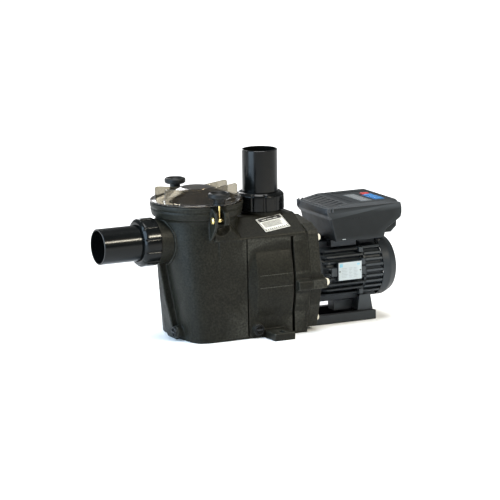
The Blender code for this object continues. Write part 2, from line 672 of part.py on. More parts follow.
def drive():
    half = DRIVE_HALF_WIDTH / MM
    seam, top = COVER_SEAM_Z / MM, COVER_TOP_Z / MM
    body_side = [(143, 179.3), (131, 227), (124, 236), (123, seam - 1), (297, seam - 1), (301, 240),
                 (301, 230), (299, 220), (294, 216), (262, 196), (258, 179.3)]
    body = prism("drive_body", [body_side], -half, half, ORIGIN, "-Y", DRIVE_GREY)
    box_side = [(250, 186.5), (281, 186.5), (294, 198), (296, 222), (250, 222)]
    join(body, prism("terminal_box", [box_side], -58, 58, ORIGIN, "-Y"))
    inside = [(147, 183), (136, 226), (137, 260), (286, 260), (292, 229), (286, 218), (258, 199), (254, 183)]
    cut(
        body,
        prism("drive_inside", [inside], -half + 4, half - 4, ORIGIN, "-Y"),
        prism("terminal_inside", [[(245, 190), (280, 190), (290, 199), (290, 225), (245, 225)]], -54, 54,
              ORIGIN, "-Y"),
        boxes("cover_seat", [((130.7, -half - 5, seam - 0.3), (291.3, half + 5, seam + 10))]),
        boxes("cable_way", [((165, -15, 170), (190, 15, 190))]),
        rod("gland_hole", 8.3, -10, 10, GLAND, "Z"),
    )
    cover_side = [(131, seam), (131, seam + 1), (171, top), (284, top), (290, top - 4), (291, seam)]
    cover = prism("drive_cover", [cover_side], -half, half, ORIGIN, "-Y", DRIVE_GREY)
    under = [(156, seam - 5), (156, seam + 1.5), (174, top - 4), (282, top - 4), (284, seam - 5)]
    cut(cover, prism("cover_inside", [under], -half + 6, half - 6, ORIGIN, "-Y"))
    groove = [(138, seam + 1.2), (167, top - 2.3), (167, top + 6), (138, top + 6)]
    for i in range(7):
        middle = -54 + 18 * i
        cut(cover, prism(f"vent_groove_{i + 1}", [groove], middle - 4, middle + 4, ORIGIN, "-Y"))
    cut(cover, boxes("panel_recess", [((194, -62, top - 1.2), (280, 52, top + 5))]))
    cut(cover, boxes("window_opening", [((211, -58, top - 20), (237, 28, top + 5))]))
    boxes("display_window", [((211.3, -57.7, top - 3.6), (236.7, 27.7, top - 0.9))], DISPLAY_GREY)
    boxes("drive_circuit_board", [((205, -60, 236), (276, 60, 237.6))], BOARD_GREEN)
    for i, (name, finish) in enumerate((("stop_button", KEY_RED), ("start_button", KEY_BLUE),
                                        ("down_button", KEY_BLUE), ("up_button", KEY_BLUE))):
        y = 18 - 20 * i
        cut(cover, boxes(name + "_opening", [((249, y - 7, top - 20), (267, y + 7, top + 5))]))
        key = boxes(name, [((249.4, y - 6.6, top - 5.2), (266.6, y + 6.6, top + 1.2))], finish)
        chamfer(key, 0.6)
        skirt = boxes(name + "_skirt", [((247.5, y - 8.5, top - 6.2), (268.5, y + 8.5, top - 4.3))])
        join(key, skirt)
    gland = [(0, 10), (8, 10), (8, -0.3), (11, -0.3), (11, -10), (9, -11), (8, -18), (5, -20), (0, -20)]
    turned("cable_gland", gland, GLAND, "Z", SATIN_BLACK, steps=12)


pump_housing()
drain_plug("strainer_drain_plug", (-218 * MM, -33 * MM, 19 * MM), "-X", 8)
drain_plug("volute_drain_plug", (-57 * MM, -101 * MM, 19 * MM), "-Y", 12)
union_set("suction", (BOSS_FACE_X, 0, SUCTION_Z), "-X", SUCTION_PIPE_LENGTH)
union_set("discharge", (0, 0, BOSS_FACE_Z), "Z", DISCHARGE_PIPE_LENGTH)
strainer_basket()
basket_handle()
ring_of("lid_seal", 90.75, 2.4, (STRAINER_X, 0, 284.7 * MM), "Z", RUBBER, steps=24)
strainer_lid()
for side_name, side in SIDES.items():
    lid_fastening(side_name, side)
diffuser()
impeller()
shaft_seal()
motor_bracket()
flange_bolts()
motor_shaft()
turned("water_slinger", [(16, 83), (16, 82), (11, 80), (8.3, 80), (8.3, 86), (11, 86)],
       SHAFT, "X", RUBBER, steps=16)
turned("rotor_core", [(36, 211), (36, 135), (11.3, 135), (11.3, 211)], SHAFT, "X", LAMINATION)
bearing("front_bearing", 106, 10.3, 23)
bearing("rear_bearing", 228, 10.3, 23)
stator()
endshields()
motor_frame()
cooling_fan()
fan_cover()
motor_supports()
drive()
for piece in list(PARTS.objects) + list(CUTTERS.objects):
    shade(piece)
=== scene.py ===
"""The looks of the pool pump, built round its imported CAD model.

Lengths are in millimetres. Only the lights' places and sizes are in metres.
"""

import json
from math import cos, pi, radians, sin, sqrt, tan

import bmesh
import bpy
from mathutils import Matrix, Vector


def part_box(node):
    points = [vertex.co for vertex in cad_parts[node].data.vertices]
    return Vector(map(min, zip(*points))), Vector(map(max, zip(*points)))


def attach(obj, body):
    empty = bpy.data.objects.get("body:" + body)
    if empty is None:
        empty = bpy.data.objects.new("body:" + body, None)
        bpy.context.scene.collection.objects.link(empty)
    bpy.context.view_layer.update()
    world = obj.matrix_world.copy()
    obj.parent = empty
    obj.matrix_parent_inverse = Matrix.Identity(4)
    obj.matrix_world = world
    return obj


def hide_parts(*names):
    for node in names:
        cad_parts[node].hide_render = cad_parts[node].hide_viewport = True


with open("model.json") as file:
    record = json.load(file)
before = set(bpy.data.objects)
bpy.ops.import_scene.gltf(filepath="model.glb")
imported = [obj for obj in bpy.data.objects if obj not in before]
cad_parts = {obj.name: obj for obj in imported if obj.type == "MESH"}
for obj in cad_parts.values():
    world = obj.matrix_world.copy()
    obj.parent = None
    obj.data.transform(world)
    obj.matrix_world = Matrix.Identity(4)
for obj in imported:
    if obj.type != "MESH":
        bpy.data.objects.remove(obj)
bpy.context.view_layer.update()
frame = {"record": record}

MM = 0.001
AXES = {
    "X": Matrix(((0, 0, 1), (1, 0, 0), (0, 1, 0))),
    "-X": Matrix(((0, 0, -1), (-1, 0, 0), (0, 1, 0))),
    "-Y": Matrix(((1, 0, 0), (0, 0, -1), (0, 1, 0))),
    "Z": Matrix.Identity(3),
}
SIDES = {"front": -1, "rear": 1}
BOTH_SIDES = tuple(SIDES.values())
STRAIGHT = radians(88)  # a corner counts as straight when half its angle is more than this
BEVEL_ANGLE = radians(35)  # an edge as sharp as this gets a bevel
SHARP = 32  # faces less than this many degrees apart shade as one surface
NORMAL_WEIGHT = 60  # how far large faces lead in the shading, over the neutral 50
FINE = 160  # steps round a large body

BODY_OF = {node: body for body, nodes in frame["record"]["behaviour"]["bodies"].items() for node in nodes}
SLOT_OF = {row["node"]: row["material_slot"] for row in frame["record"]["subparts"]}


def span(node):
    """A node's lowest and highest corner in mm."""
    low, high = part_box(node)
    return low / MM, high / MM


def centre(node):
    low, high = span(node)
    return (low + high) / 2


# Places read from the frame
ORIGIN = Vector((0, 0, 0))
SHAFT = Vector((0, 0, centre("motor_shaft").z))
SUCTION = Vector((0, 0, centre("suction_tailpipe").z))
POT = Vector((centre("strainer_basket").x, 0, 0))
KNOB_X = centre("front_hand_knob").x
KNOB_Y = centre("rear_hand_knob").y
PIVOT_Z = centre("front_pivot_pin").z
NUT_GAP = 0.3
BOSS_X = span("suction_union_nut")[1].x + NUT_GAP
BOSS_Z = span("discharge_union_nut")[0].z - NUT_GAP
PIPE_RADIUS = 37.5
BORE_RADIUS = 31.0
RING_TOP = span("pump_housing")[1].z
FLANGE_X = span("pump_housing")[1].x
FRAME_LOW, FRAME_HIGH = span("motor_frame")
DRIVE_LOW, DRIVE_HIGH = span("drive_body")
COVER_LOW, COVER_HIGH = span("drive_cover")
PLUG_SEAT = 7  # from a drain plug's outer end to the face it seats on
STRAINER_PLUG = centre("strainer_drain_plug")
STRAINER_PLUG.x = span("strainer_drain_plug")[0].x + PLUG_SEAT
VOLUTE_PLUG = centre("volute_drain_plug")
VOLUTE_PLUG.y = span("volute_drain_plug")[0].y + PLUG_SEAT


# Shapes


def rounded(points, soft=1.0, closed=True, steps=4):
    """A path of (u, v) or (u, v, own radius) with its corners rounded off."""
    count = len(points)
    path = []
    for i, point in enumerate(points):
        here = Vector(point[:2])
        radius = point[2] if len(point) > 2 else soft
        if radius <= 0 or (not closed and i in (0, count - 1)):
            path.append(here)
            continue
        before = Vector(points[i - 1][:2]) - here
        after = Vector(points[(i + 1) % count][:2]) - here
        half = before.angle(after) / 2
        if half > STRAIGHT:
            path.append(here)
            continue
        reach = min(radius / tan(half), before.length * 0.48, after.length * 0.48)
        start, end = here + before.normalized() * reach, here + after.normalized() * reach
        for k in range(steps + 1):
            t = k / steps
            path.append(start * (1 - t) ** 2 + here * 2 * t * (1 - t) + end * t * t)
    return path


def placed(name, data):
    obj = bpy.data.objects.new(name, data)
    bpy.context.scene.collection.objects.link(obj)
    return obj


def shaped(name, form, mesh=None):
    """Puts an edited form in a mesh, with an object of its own at the frame's origin."""
    mesh = mesh or bpy.data.meshes.new(name)
    form.to_mesh(mesh)
    form.free()
    return placed(name, mesh)


def solid(name, points, faces, at=ORIGIN, axis="Z"):
    """A mesh object from points in mm, with its shape in world space."""
    mesh = bpy.data.meshes.new(name)
    turn = AXES[axis]
    mesh.from_pydata([(turn @ Vector(p) + Vector(at)) * MM for p in points], [], faces)
    form = bmesh.new()
    form.from_mesh(mesh)
    bmesh.ops.recalc_face_normals(form, faces=form.faces)
    return shaped(name, form, mesh)


def polar(name, stations, at=ORIGIN, axis="Z", steps=96):
    """A body round an axis through stations of (reach, height). A reach is a number or a function of the angle,
    and 0 closes the body on the axis. A body that starts off the axis closes on itself."""
    points, rings, faces = [], [], []
    for reach, height in stations:
        if reach == 0:
            rings.append([len(points)] * steps)
            points.append((0, 0, height))
            continue
        ring = []
        for i in range(steps):
            turn = 2 * pi * i / steps
            r = reach(turn) if callable(reach) else reach
            ring.append(len(points))
            points.append((r * cos(turn), r * sin(turn), height))
        rings.append(ring)
    pairs = list(zip(rings, rings[1:]))
    if stations[0][0] != 0:
        pairs.append((rings[-1], rings[0]))
    for low, high in pairs:
        for i in range(steps):
            j = (i + 1) % steps
            corners = [low[i], low[j], high[j], high[i]]
            faces.append(list(dict.fromkeys(corners)))
    return solid(name, points, [f for f in faces if len(f) > 2], at, axis)


def turned(name, profile, at=ORIGIN, axis="Z", soft=0.8, steps=96, bend=4):
    """A turned body from (radius, height) points, with soft corners."""
    closed = profile[0][0] > 0
    path = rounded(profile, soft, closed, bend)
    return polar(name, [(max(p.x, 0), p.y) for p in path], at, axis, steps)


def rod(name, radius, start, end, at=ORIGIN, axis="Z", soft=0.8, steps=96):
    """A plain round bar, to cut a hole with."""
    return turned(name, [(0, start), (radius, start), (radius, end), (0, end)], at, axis, soft, steps)


def applied(obj):
    """Makes the modified shape the object's mesh."""
    graph = bpy.context.evaluated_depsgraph_get()
    mesh = bpy.data.meshes.new_from_object(obj.evaluated_get(graph))
    obj.modifiers.clear()
    old, obj.data = obj.data, mesh
    bpy.data.meshes.remove(old)
    return obj


def modified(obj, kind, **settings):
    step = obj.modifiers.new(kind.lower(), kind)
    for name, value in settings.items():
        setattr(step, name, value)


def bevelled(obj, width, segments):
    if width > 0:
        modified(obj, "BEVEL", width=width * MM, segments=segments, limit_method="ANGLE", angle_limit=BEVEL_ANGLE)
        applied(obj)
    return obj


def traced(name, curve, path, closed):
    """The mesh of a curve along a path of points, and its form to edit."""
    spline = curve.splines.new("POLY")
    spline.points.add(len(path) - 1)
    for point, place in zip(spline.points, path):
        point.co = (*place, 1)
    spline.use_cyclic_u = closed
    line = placed(name + "_line", curve)
    mesh = bpy.data.meshes.new_from_object(line.evaluated_get(bpy.context.evaluated_depsgraph_get()))
    bpy.data.objects.remove(line)
    form = bmesh.new()
    form.from_mesh(mesh)
    return mesh, form


def slab(name, outline, start, end, axis="Z", at=ORIGIN, soft=1.0, edge=0.6, bend=4, segments=2):
    """A flat outline run from one height to another, with soft corners and softened rims."""
    curve = bpy.data.curves.new(name, "CURVE")
    curve.dimensions = "2D"
    curve.fill_mode = "BOTH"
    curve.extrude = (end - start) / 2
    mesh, form = traced(name, curve, [(*p, 0) for p in rounded(outline, soft, True, bend)], True)
    bmesh.ops.remove_doubles(form, verts=form.verts, dist=1e-4)
    bmesh.ops.dissolve_limit(form, angle_limit=radians(0.5), verts=form.verts, edges=form.edges)
    bmesh.ops.translate(form, verts=form.verts, vec=(0, 0, (start + end) / 2))
    place = Matrix.Translation(Vector(at) * MM) @ AXES[axis].to_4x4() @ Matrix.Scale(MM, 4)
    bmesh.ops.transform(form, matrix=place, verts=form.verts)
    bmesh.ops.recalc_face_normals(form, faces=form.faces)
    return bevelled(shaped(name, form, mesh), edge, segments)


def block(name, low, high, edge=0.8, segments=2):
    """A box between two corners with softened edges."""
    form = bmesh.new()
    size = Vector(high) - Vector(low)
    middle = (Vector(high) + Vector(low)) / 2
    bmesh.ops.create_cube(form, size=1, matrix=Matrix.Translation(middle * MM) @ Matrix.Diagonal((*(size * MM), 1)))
    return bevelled(shaped(name, form), edge, segments)


def tube(name, points, radius):
    """A bent wire through points in mm."""
    curve = bpy.data.curves.new(name, "CURVE")
    curve.dimensions = "3D"
    curve.bevel_depth = radius * MM
    curve.bevel_resolution = 3
    curve.use_fill_caps = True
    mesh, form = traced(name, curve, [Vector(p) * MM for p in points], False)
    bmesh.ops.remove_doubles(form, verts=form.verts, dist=1e-6)
    return shaped(name, form, mesh)


def combined(obj, others, operation):
    """Unites or cuts with the others, which are used up."""
    for other in others:
        modified(obj, "BOOLEAN", operation=operation, solver="MANIFOLD", object=other)
    applied(obj)
    for other in others:
        bpy.data.objects.remove(other)
    return obj


def united(obj, *others):
    return combined(obj, others, "UNION")


def cut(obj, *others):
    return combined(obj, others, "DIFFERENCE")


def shared(obj, other):
    return combined(obj, [other], "INTERSECT")


def swung(obj, at, turn):
    """Turns or scales a shape about the frame's origin, then moves it."""
    obj.data.transform(Matrix.Translation(Vector(at) * MM) @ turn)
    return obj


def gathered(obj, *others):
    """Puts other objects' meshes in this one, as loose shells."""
    form = bmesh.new()
    for part in (obj, *others):
        form.from_mesh(part.data)
    form.to_mesh(obj.data)
    form.free()
    for part in others:
        bpy.data.objects.remove(part)
    return obj


def moulded(obj, cell, passes, keep):
    """Remeshes a body in small cells and smooths it, so that every edge and joint gets a moulding's radius."""
    modified(obj, "REMESH", mode="VOXEL", voxel_size=cell * MM)
    modified(obj, "SMOOTH", factor=0.6, iterations=passes)
    modified(obj, "DECIMATE", ratio=keep)
    return applied(obj)


def smooth_shaded(obj, angle=SHARP):
    obj.data.shade_smooth()
    if angle < 180:
        obj.data.set_sharp_from_angle(angle=radians(angle))
        modified(obj, "WEIGHTED_NORMAL", keep_sharp=True, weight=NORMAL_WEIGHT)
        applied(obj)
    return obj


def dressed(obj, material, angle=SHARP):
    obj.data.materials.clear()
    obj.data.materials.append(material)
    return smooth_shaded(obj, angle)


def stands_for(obj, node, material, angle=SHARP):
    """The piece takes a CAD node's place and body."""
    dressed(obj, material, angle)
    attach(obj, BODY_OF[node])
    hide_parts(node)
    return obj


def added(obj, beside, material, slot=None, angle=SHARP):
    """A small extra piece that moves with a CAD node."""
    dressed(obj, material, angle)
    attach(obj, BODY_OF[beside])
    slot or SLOT_OF[beside]
    return obj


def on_side(side, outline):
    """An outline given for the rear, put on either side."""
    return [(side * p[0], *p[1:]) for p in outline]


def mirrored(half):
    """The whole of an outline given for one side of the upright centre line, top to bottom."""
    return half + [(-p[0], *p[1:]) for p in reversed(half) if p[0] > 0]


# Materials


class Paint:
    """A procedural material: colour that varies, roughness that varies, and fine relief."""

    def __init__(self, title, colour, roughness, metallic=0.0, specular=0.5):
        self.material = bpy.data.materials.new(title)
        self.material.use_nodes = True
        self.nodes, self.links = self.material.node_tree.nodes, self.material.node_tree.links
        self.shader = self.nodes["Principled BSDF"]
        for name, value in (("Base Color", (*colour, 1)), ("Roughness", roughness), ("Metallic", metallic),
                            ("Specular IOR Level", specular)):
            self.shader.inputs[name].default_value = value
        self.colour = colour
        self.place = self.nodes.new("ShaderNodeTexCoord").outputs["Object"]
        self.relief = None

    def feed(self, socket, value):
        """Links another node's output to a socket, or sets a plain value on it."""
        if hasattr(value, "links"):
            self.links.new(value, socket)
        else:
            socket.default_value = value

    def node(self, kind, **inputs):
        made = self.nodes.new(kind)
        for name, value in inputs.items():
            self.feed(made.inputs[name.replace("_", " ")], value)
        return made

    def noise(self, scale, detail, rough=0.55, stretch=None):
        place = self.place
        if stretch:
            place = self.node("ShaderNodeMapping", Vector=place, Scale=stretch).outputs[0]
        made = self.node("ShaderNodeTexNoise", Vector=place, Scale=scale, Detail=detail, Roughness=rough)
        return made.outputs["Fac"]

    def ranged(self, value, low, high, to_low=0.0, to_high=1.0):
        made = self.node("ShaderNodeMapRange", Value=value, From_Min=low, From_Max=high,
                         To_Min=to_low, To_Max=to_high)
        return made.outputs["Result"]

    def mix(self, factor, a, b):
        made = self.nodes.new("ShaderNodeMix")
        made.data_type = "RGBA"
        self.links.new(factor, made.inputs["Factor"])
        for socket, value in ((made.inputs[6], a), (made.inputs[7], b)):
            self.feed(socket, value if hasattr(value, "links") else (*value, 1))
        return made.outputs[2]

    def painted(self, value):
        self.links.new(value, self.shader.inputs["Base Color"])
        self.shown = value
        return self

    def mottled(self, scale, amount):
        """Colour that drifts round the base colour by a share of it."""
        dark = [c * (1 - amount) for c in self.colour]
        light = [c * (1 + amount) for c in self.colour]
        return self.painted(self.mix(self.ranged(self.noise(scale, 4.0), 0.3, 0.7), dark, light))

    def specked(self, scale, colour, share, strength):
        """Small specks of another colour over what is there."""
        factor = self.ranged(self.noise(scale, 2.0), 1 - share, min(1.0, 1 - share + 0.06), 0, strength)
        return self.painted(self.mix(factor, self.shown, colour))

    def freckled(self, scale, amount):
        """A fine light and dark speckle over what is there."""
        factor = self.ranged(self.noise(scale, 1.5), 0.32, 0.68, 1 - amount, 1 + amount)
        made = self.nodes.new("ShaderNodeVectorMath")
        made.operation = "SCALE"
        self.links.new(self.shown, made.inputs[0])
        self.links.new(factor, made.inputs["Scale"])
        return self.painted(made.outputs[0])

    def highlight_edges(self, colour, low=0.53, high=0.60, amount=0.7):
        """A painted highlight: a lighter colour along the edges."""
        edge = self.nodes.new("ShaderNodeNewGeometry").outputs["Pointiness"]
        return self.painted(self.mix(self.ranged(edge, low, high, 0, amount), self.shown, colour))

    def rough_between(self, scale, low, high):
        value = self.ranged(self.noise(scale, 3.0), 0.3, 0.7, low, high)
        self.links.new(value, self.shader.inputs["Roughness"])
        return self

    def bumped(self, value, depth_mm):
        made = self.node("ShaderNodeBump", Strength=1.0, Distance=depth_mm * MM, Height=value)
        if self.relief:
            self.links.new(self.relief, made.inputs["Normal"])
        self.relief = made.outputs["Normal"]
        self.links.new(self.relief, self.shader.inputs["Normal"])
        return self

    def grained(self, scale, depth_mm):
        return self.bumped(self.noise(scale, 2.0), depth_mm)


def moulding(name, colour, rough_low, rough_high, grain, depth, edge, speckle=0.0):
    """Satin moulded plastic with a fine grain, and a painted highlight in the edge colour along its edges."""
    paint = Paint(name, colour, (rough_low + rough_high) / 2, specular=0.13)
    # painted highlight along the edges, in the edge colour
    paint.mottled(14, 0.18).highlight_edges(edge, 0.508, 0.565)
    if speckle:
        paint.freckled(260, speckle)
    paint.rough_between(60, rough_low, rough_high)
    return paint.grained(grain, depth).grained(40, 0.25).material


# In each moulding the second colour is a painted highlight along the edges.
BLACK_MOULDING = moulding("pump_black_moulding", (0.0100, 0.0098, 0.0070), 0.38, 0.50, 430, 0.35,
                          (0.045, 0.045, 0.038), 0.42)
SATIN_BLACK = moulding("satin_black", (0.0105, 0.0105, 0.0100), 0.30, 0.40, 700, 0.05, (0.05, 0.053, 0.056))
BASE_BLACK = moulding("base_black", (0.009, 0.011, 0.013), 0.40, 0.52, 500, 0.10, (0.04, 0.045, 0.05))
DRIVE_GREY = moulding("drive_grey", (0.0135, 0.0155, 0.0170), 0.38, 0.46, 900, 0.04, (0.06, 0.068, 0.076))
COVER_GREY = moulding("drive_cover_grey", (0.0175, 0.0205, 0.023), 0.34, 0.44, 900, 0.04, (0.08, 0.086, 0.096))


def pipe_gloss():
    paint = Paint("pipe_gloss_black", (0.0030, 0.0034, 0.0034), 0.20, specular=0.19)
    paint.mottled(22, 0.25).rough_between(90, 0.15, 0.21)
    return paint.grained(150, 0.012).material


def motor_paint():
    paint = Paint("motor_paint", (0.023, 0.0275, 0.0325), 0.4, specular=0.2)
    # painted highlight along the edges, in a light blue-grey
    paint.mottled(18, 0.2).highlight_edges((0.065, 0.075, 0.085), 0.52, 0.60, 0.6).rough_between(80, 0.34, 0.46)
    return paint.grained(520, 0.08).grained(90, 0.12).material


def brass():
    paint = Paint("turned_brass", (0.62, 0.47, 0.19), 0.28, metallic=1.0)
    paint.mottled(160, 0.12).rough_between(300, 0.2, 0.38)
    return paint.grained(900, 0.01).material


def bolt_cream():
    paint = Paint("bolt_coating", (0.66, 0.63, 0.53), 0.42)
    paint.mottled(240, 0.08).specked(420, (0.42, 0.38, 0.30), 0.36, 0.6).rough_between(260, 0.36, 0.5)
    return paint.grained(700, 0.03).material


def smoke_lid(name, colour):
    paint = Paint(name, colour, 0.05, specular=0.6)
    paint.shader.inputs["Transmission Weight"].default_value = 0.9
    paint.shader.inputs["IOR"].default_value = 1.48
    paint.mottled(9, 0.10).rough_between(60, 0.04, 0.10)
    return paint.grained(50, 0.03).material


def rubber():
    paint = Paint("seal_rubber", (0.016, 0.016, 0.017), 0.7, specular=0.3)
    return paint.mottled(120, 0.2).grained(1200, 0.03).material


def turned_steel():
    paint = Paint("turned_steel", (0.55, 0.55, 0.56), 0.3, metallic=1.0)
    paint.mottled(60, 0.08).rough_between(120, 0.22, 0.38)
    return paint.bumped(paint.noise(1500, 2.0, 0.5, (1, 0.05, 0.05)), 0.01).material


def light_plastic(name, colour, roughness=0.45):
    paint = Paint(name, colour, roughness)
    paint.mottled(30, 0.06).rough_between(90, roughness - 0.06, roughness + 0.08)
    return paint.grained(600, 0.03).material


def metal_core(name, colour, pitch_mm):
    """Stacked sheets or wound wire: fine lines across the shaft."""
    paint = Paint(name, colour, 0.4, metallic=1.0)
    paint.mottled(70, 0.15)
    lines = paint.node("ShaderNodeTexWave", Vector=paint.place, Scale=2 * pi / (pitch_mm * MM) / 20)
    return paint.bumped(lines.outputs["Fac"], 0.2).material


GLOSS_BLACK = pipe_gloss()
MOTOR_PAINT = motor_paint()
BRASS = brass()
BOLT_CREAM = bolt_cream()
LID_SMOKE = smoke_lid("lid_smoke", (0.13, 0.105, 0.075))
LID_PLATE = smoke_lid("lid_plate_smoke", (0.27, 0.245, 0.19))
RUBBER = rubber()
STEEL = turned_steel()
BASKET_BROWN = light_plastic("basket_brown", (0.060, 0.054, 0.046))
FILLED_PLASTIC = light_plastic("filled_plastic", (0.055, 0.058, 0.062))
PLATE_SILVER = light_plastic("plate_silver", (0.43, 0.49, 0.52), 0.35)
PLATE_GREY = light_plastic("plate_grey", (0.27, 0.31, 0.34), 0.4)
MARK_BLUE = light_plastic("mark_blue", (0.05, 0.42, 0.62), 0.5)
MARK_GREY = light_plastic("mark_grey", (0.16, 0.17, 0.18), 0.5)
STEEL_DARK = light_plastic("screw_dark", (0.05, 0.05, 0.052), 0.3)
DISPLAY = light_plastic("display_face", (0.15, 0.165, 0.175), 0.25)
LABEL_WHITE = light_plastic("label_paper", (0.80, 0.80, 0.74), 0.55)
MARK_BLACK = light_plastic("mark_black", (0.02, 0.02, 0.02), 0.5)
KEY_RED = light_plastic("key_red", (0.45, 0.03, 0.03), 0.4)
KEY_BLUE = light_plastic("key_blue", (0.03, 0.17, 0.42), 0.4)
INNER_FINISHES = {
    "steel_turned": STEEL,
    "seal_rubber": RUBBER,
    "filled_plastic": FILLED_PLASTIC,
    "seal_ceramic": light_plastic("seal_ceramic", (0.80, 0.78, 0.74), 0.2),
    "core_laminations": metal_core("core_laminations", (0.34, 0.34, 0.35), 1.0),
    "winding_copper": metal_core("winding_copper", (0.62, 0.26, 0.11), 0.8),
    "board_green": light_plastic("board_green", (0.02, 0.14, 0.06), 0.35),
}


# Pump housing


def squarish(length, width, power):
    """The reach of a superellipse at an angle."""
    return lambda turn: (abs(cos(turn) / length) ** power + abs(sin(turn) / width) ** power) ** (-1 / power)


def pot_body(proud=0):
    """The strainer pot's outside: squarish at the base and round at the neck."""
    stations = [(0, -6, 52, 95.5, 4.2), (0, 60, 61, 94.5, 3.5), (0, 120, 70, 93, 3.0), (0, 170, 76, 91, 2.6),
                (0, 215, 82, 88.5, 2.25), (0, 245, 86, 86, 2.0), (0, 262, 86, 86, 2.0)]
    path = [(0, stations[0][1])]
    path += [(squarish(length + proud, width + proud, power), height) for _, height, length, width, power in stations]
    path.append((0, stations[-1][1]))
    return polar("pump_body", path, POT, steps=FINE)


# (y, z) outlines: the ears that carry the lid bolts, the boss on the flange's side, half of the flange
OUTER_EAR = [(80, 284), (99, 284, 3), (113, 276, 6), (117, 262, 8), (114, 246, 8), (104, 230, 6), (90, 214, 3),
             (80, 212)]
INNER_EAR = [(80, 284), (99, 284, 3), (113, 276, 6), (117, 264, 6), (115, PIVOT_Z - 11, 4), (80, PIVOT_Z - 13)]
SIDE_BOSS = [(86, 122), (114, 112), (115, 94), (86, 90)]
FLANGE = [(0, 240, 0), (83, 216, 8), (90, 210, 5), (95, 176, 30), (103, 128, 30), (104, 95, 20), (97, 55, 30),
          (86, 22, 10), (84, 5, 3)]
DRUM_WIDTH, DRUM_HEIGHT = 105, 150  # half sizes


def barrel(name, half_width, half_height, start, end, low, high):
    """The slice of the bulging volute barrel between two heights."""
    reach = squarish(half_width, half_height, 2)
    inner = squarish(half_width - 9, half_height - 9, 2)
    stations = [(0, start), (inner, start), (reach, start + 15), (reach, end), (0, end)]
    body = polar(name, stations, SHAFT, "X", 256)
    return shared(body, block(name + "_slice", (start - 9, -140, low), (end + 9, 140, high), 0))


def ball(name, middle, radii):
    """An ellipsoid."""
    stations = [(sin(pi * i / 24), -cos(pi * i / 24)) for i in range(25)]
    stations[0], stations[-1] = (0, -1), (0, 1)
    return swung(polar(name, stations, steps=48), middle, Matrix.Diagonal((*radii, 1)))


def shoulder(side):
    """The fall from the pot's neck to the casing's slope, beside an ear."""
    neck = [(60, 264), (84, 262), (91, 246), (93, 212), (60, 212)]
    slope = [(60, 233), (82, 219), (90, 214), (93, 210), (60, 210)]
    points = [(x, side * y, z) for x, ring in ((-150, neck), (-125, neck), (-90, slope)) for y, z in ring]
    faces = [[a + i, a + (i + 1) % 5, a + 5 + (i + 1) % 5, a + 5 + i] for a in (0, 5) for i in range(5)]
    return solid("shoulder", points, [*faces, [0, 1, 2, 3, 4], [14, 13, 12, 11, 10]])


def keel():
    """The wedge under the suction boss: thin at the top and broad at the foot."""
    side_view = [(-241.3, 176), (-230, 83), (-218, 22), (-206, -12), (-180, -12), (-180, 176)]
    wedge = slab("keel", side_view, -21, 21, "-Y", soft=2, edge=0)
    for side in BOTH_SIDES:
        flank = on_side(side, [(3.5, 180), (21, 30), (21, -20), (60, -20), (60, 180)])
        cut(wedge, slab("flank", flank, -260, -170, "X", soft=0, edge=0))
    return wedge


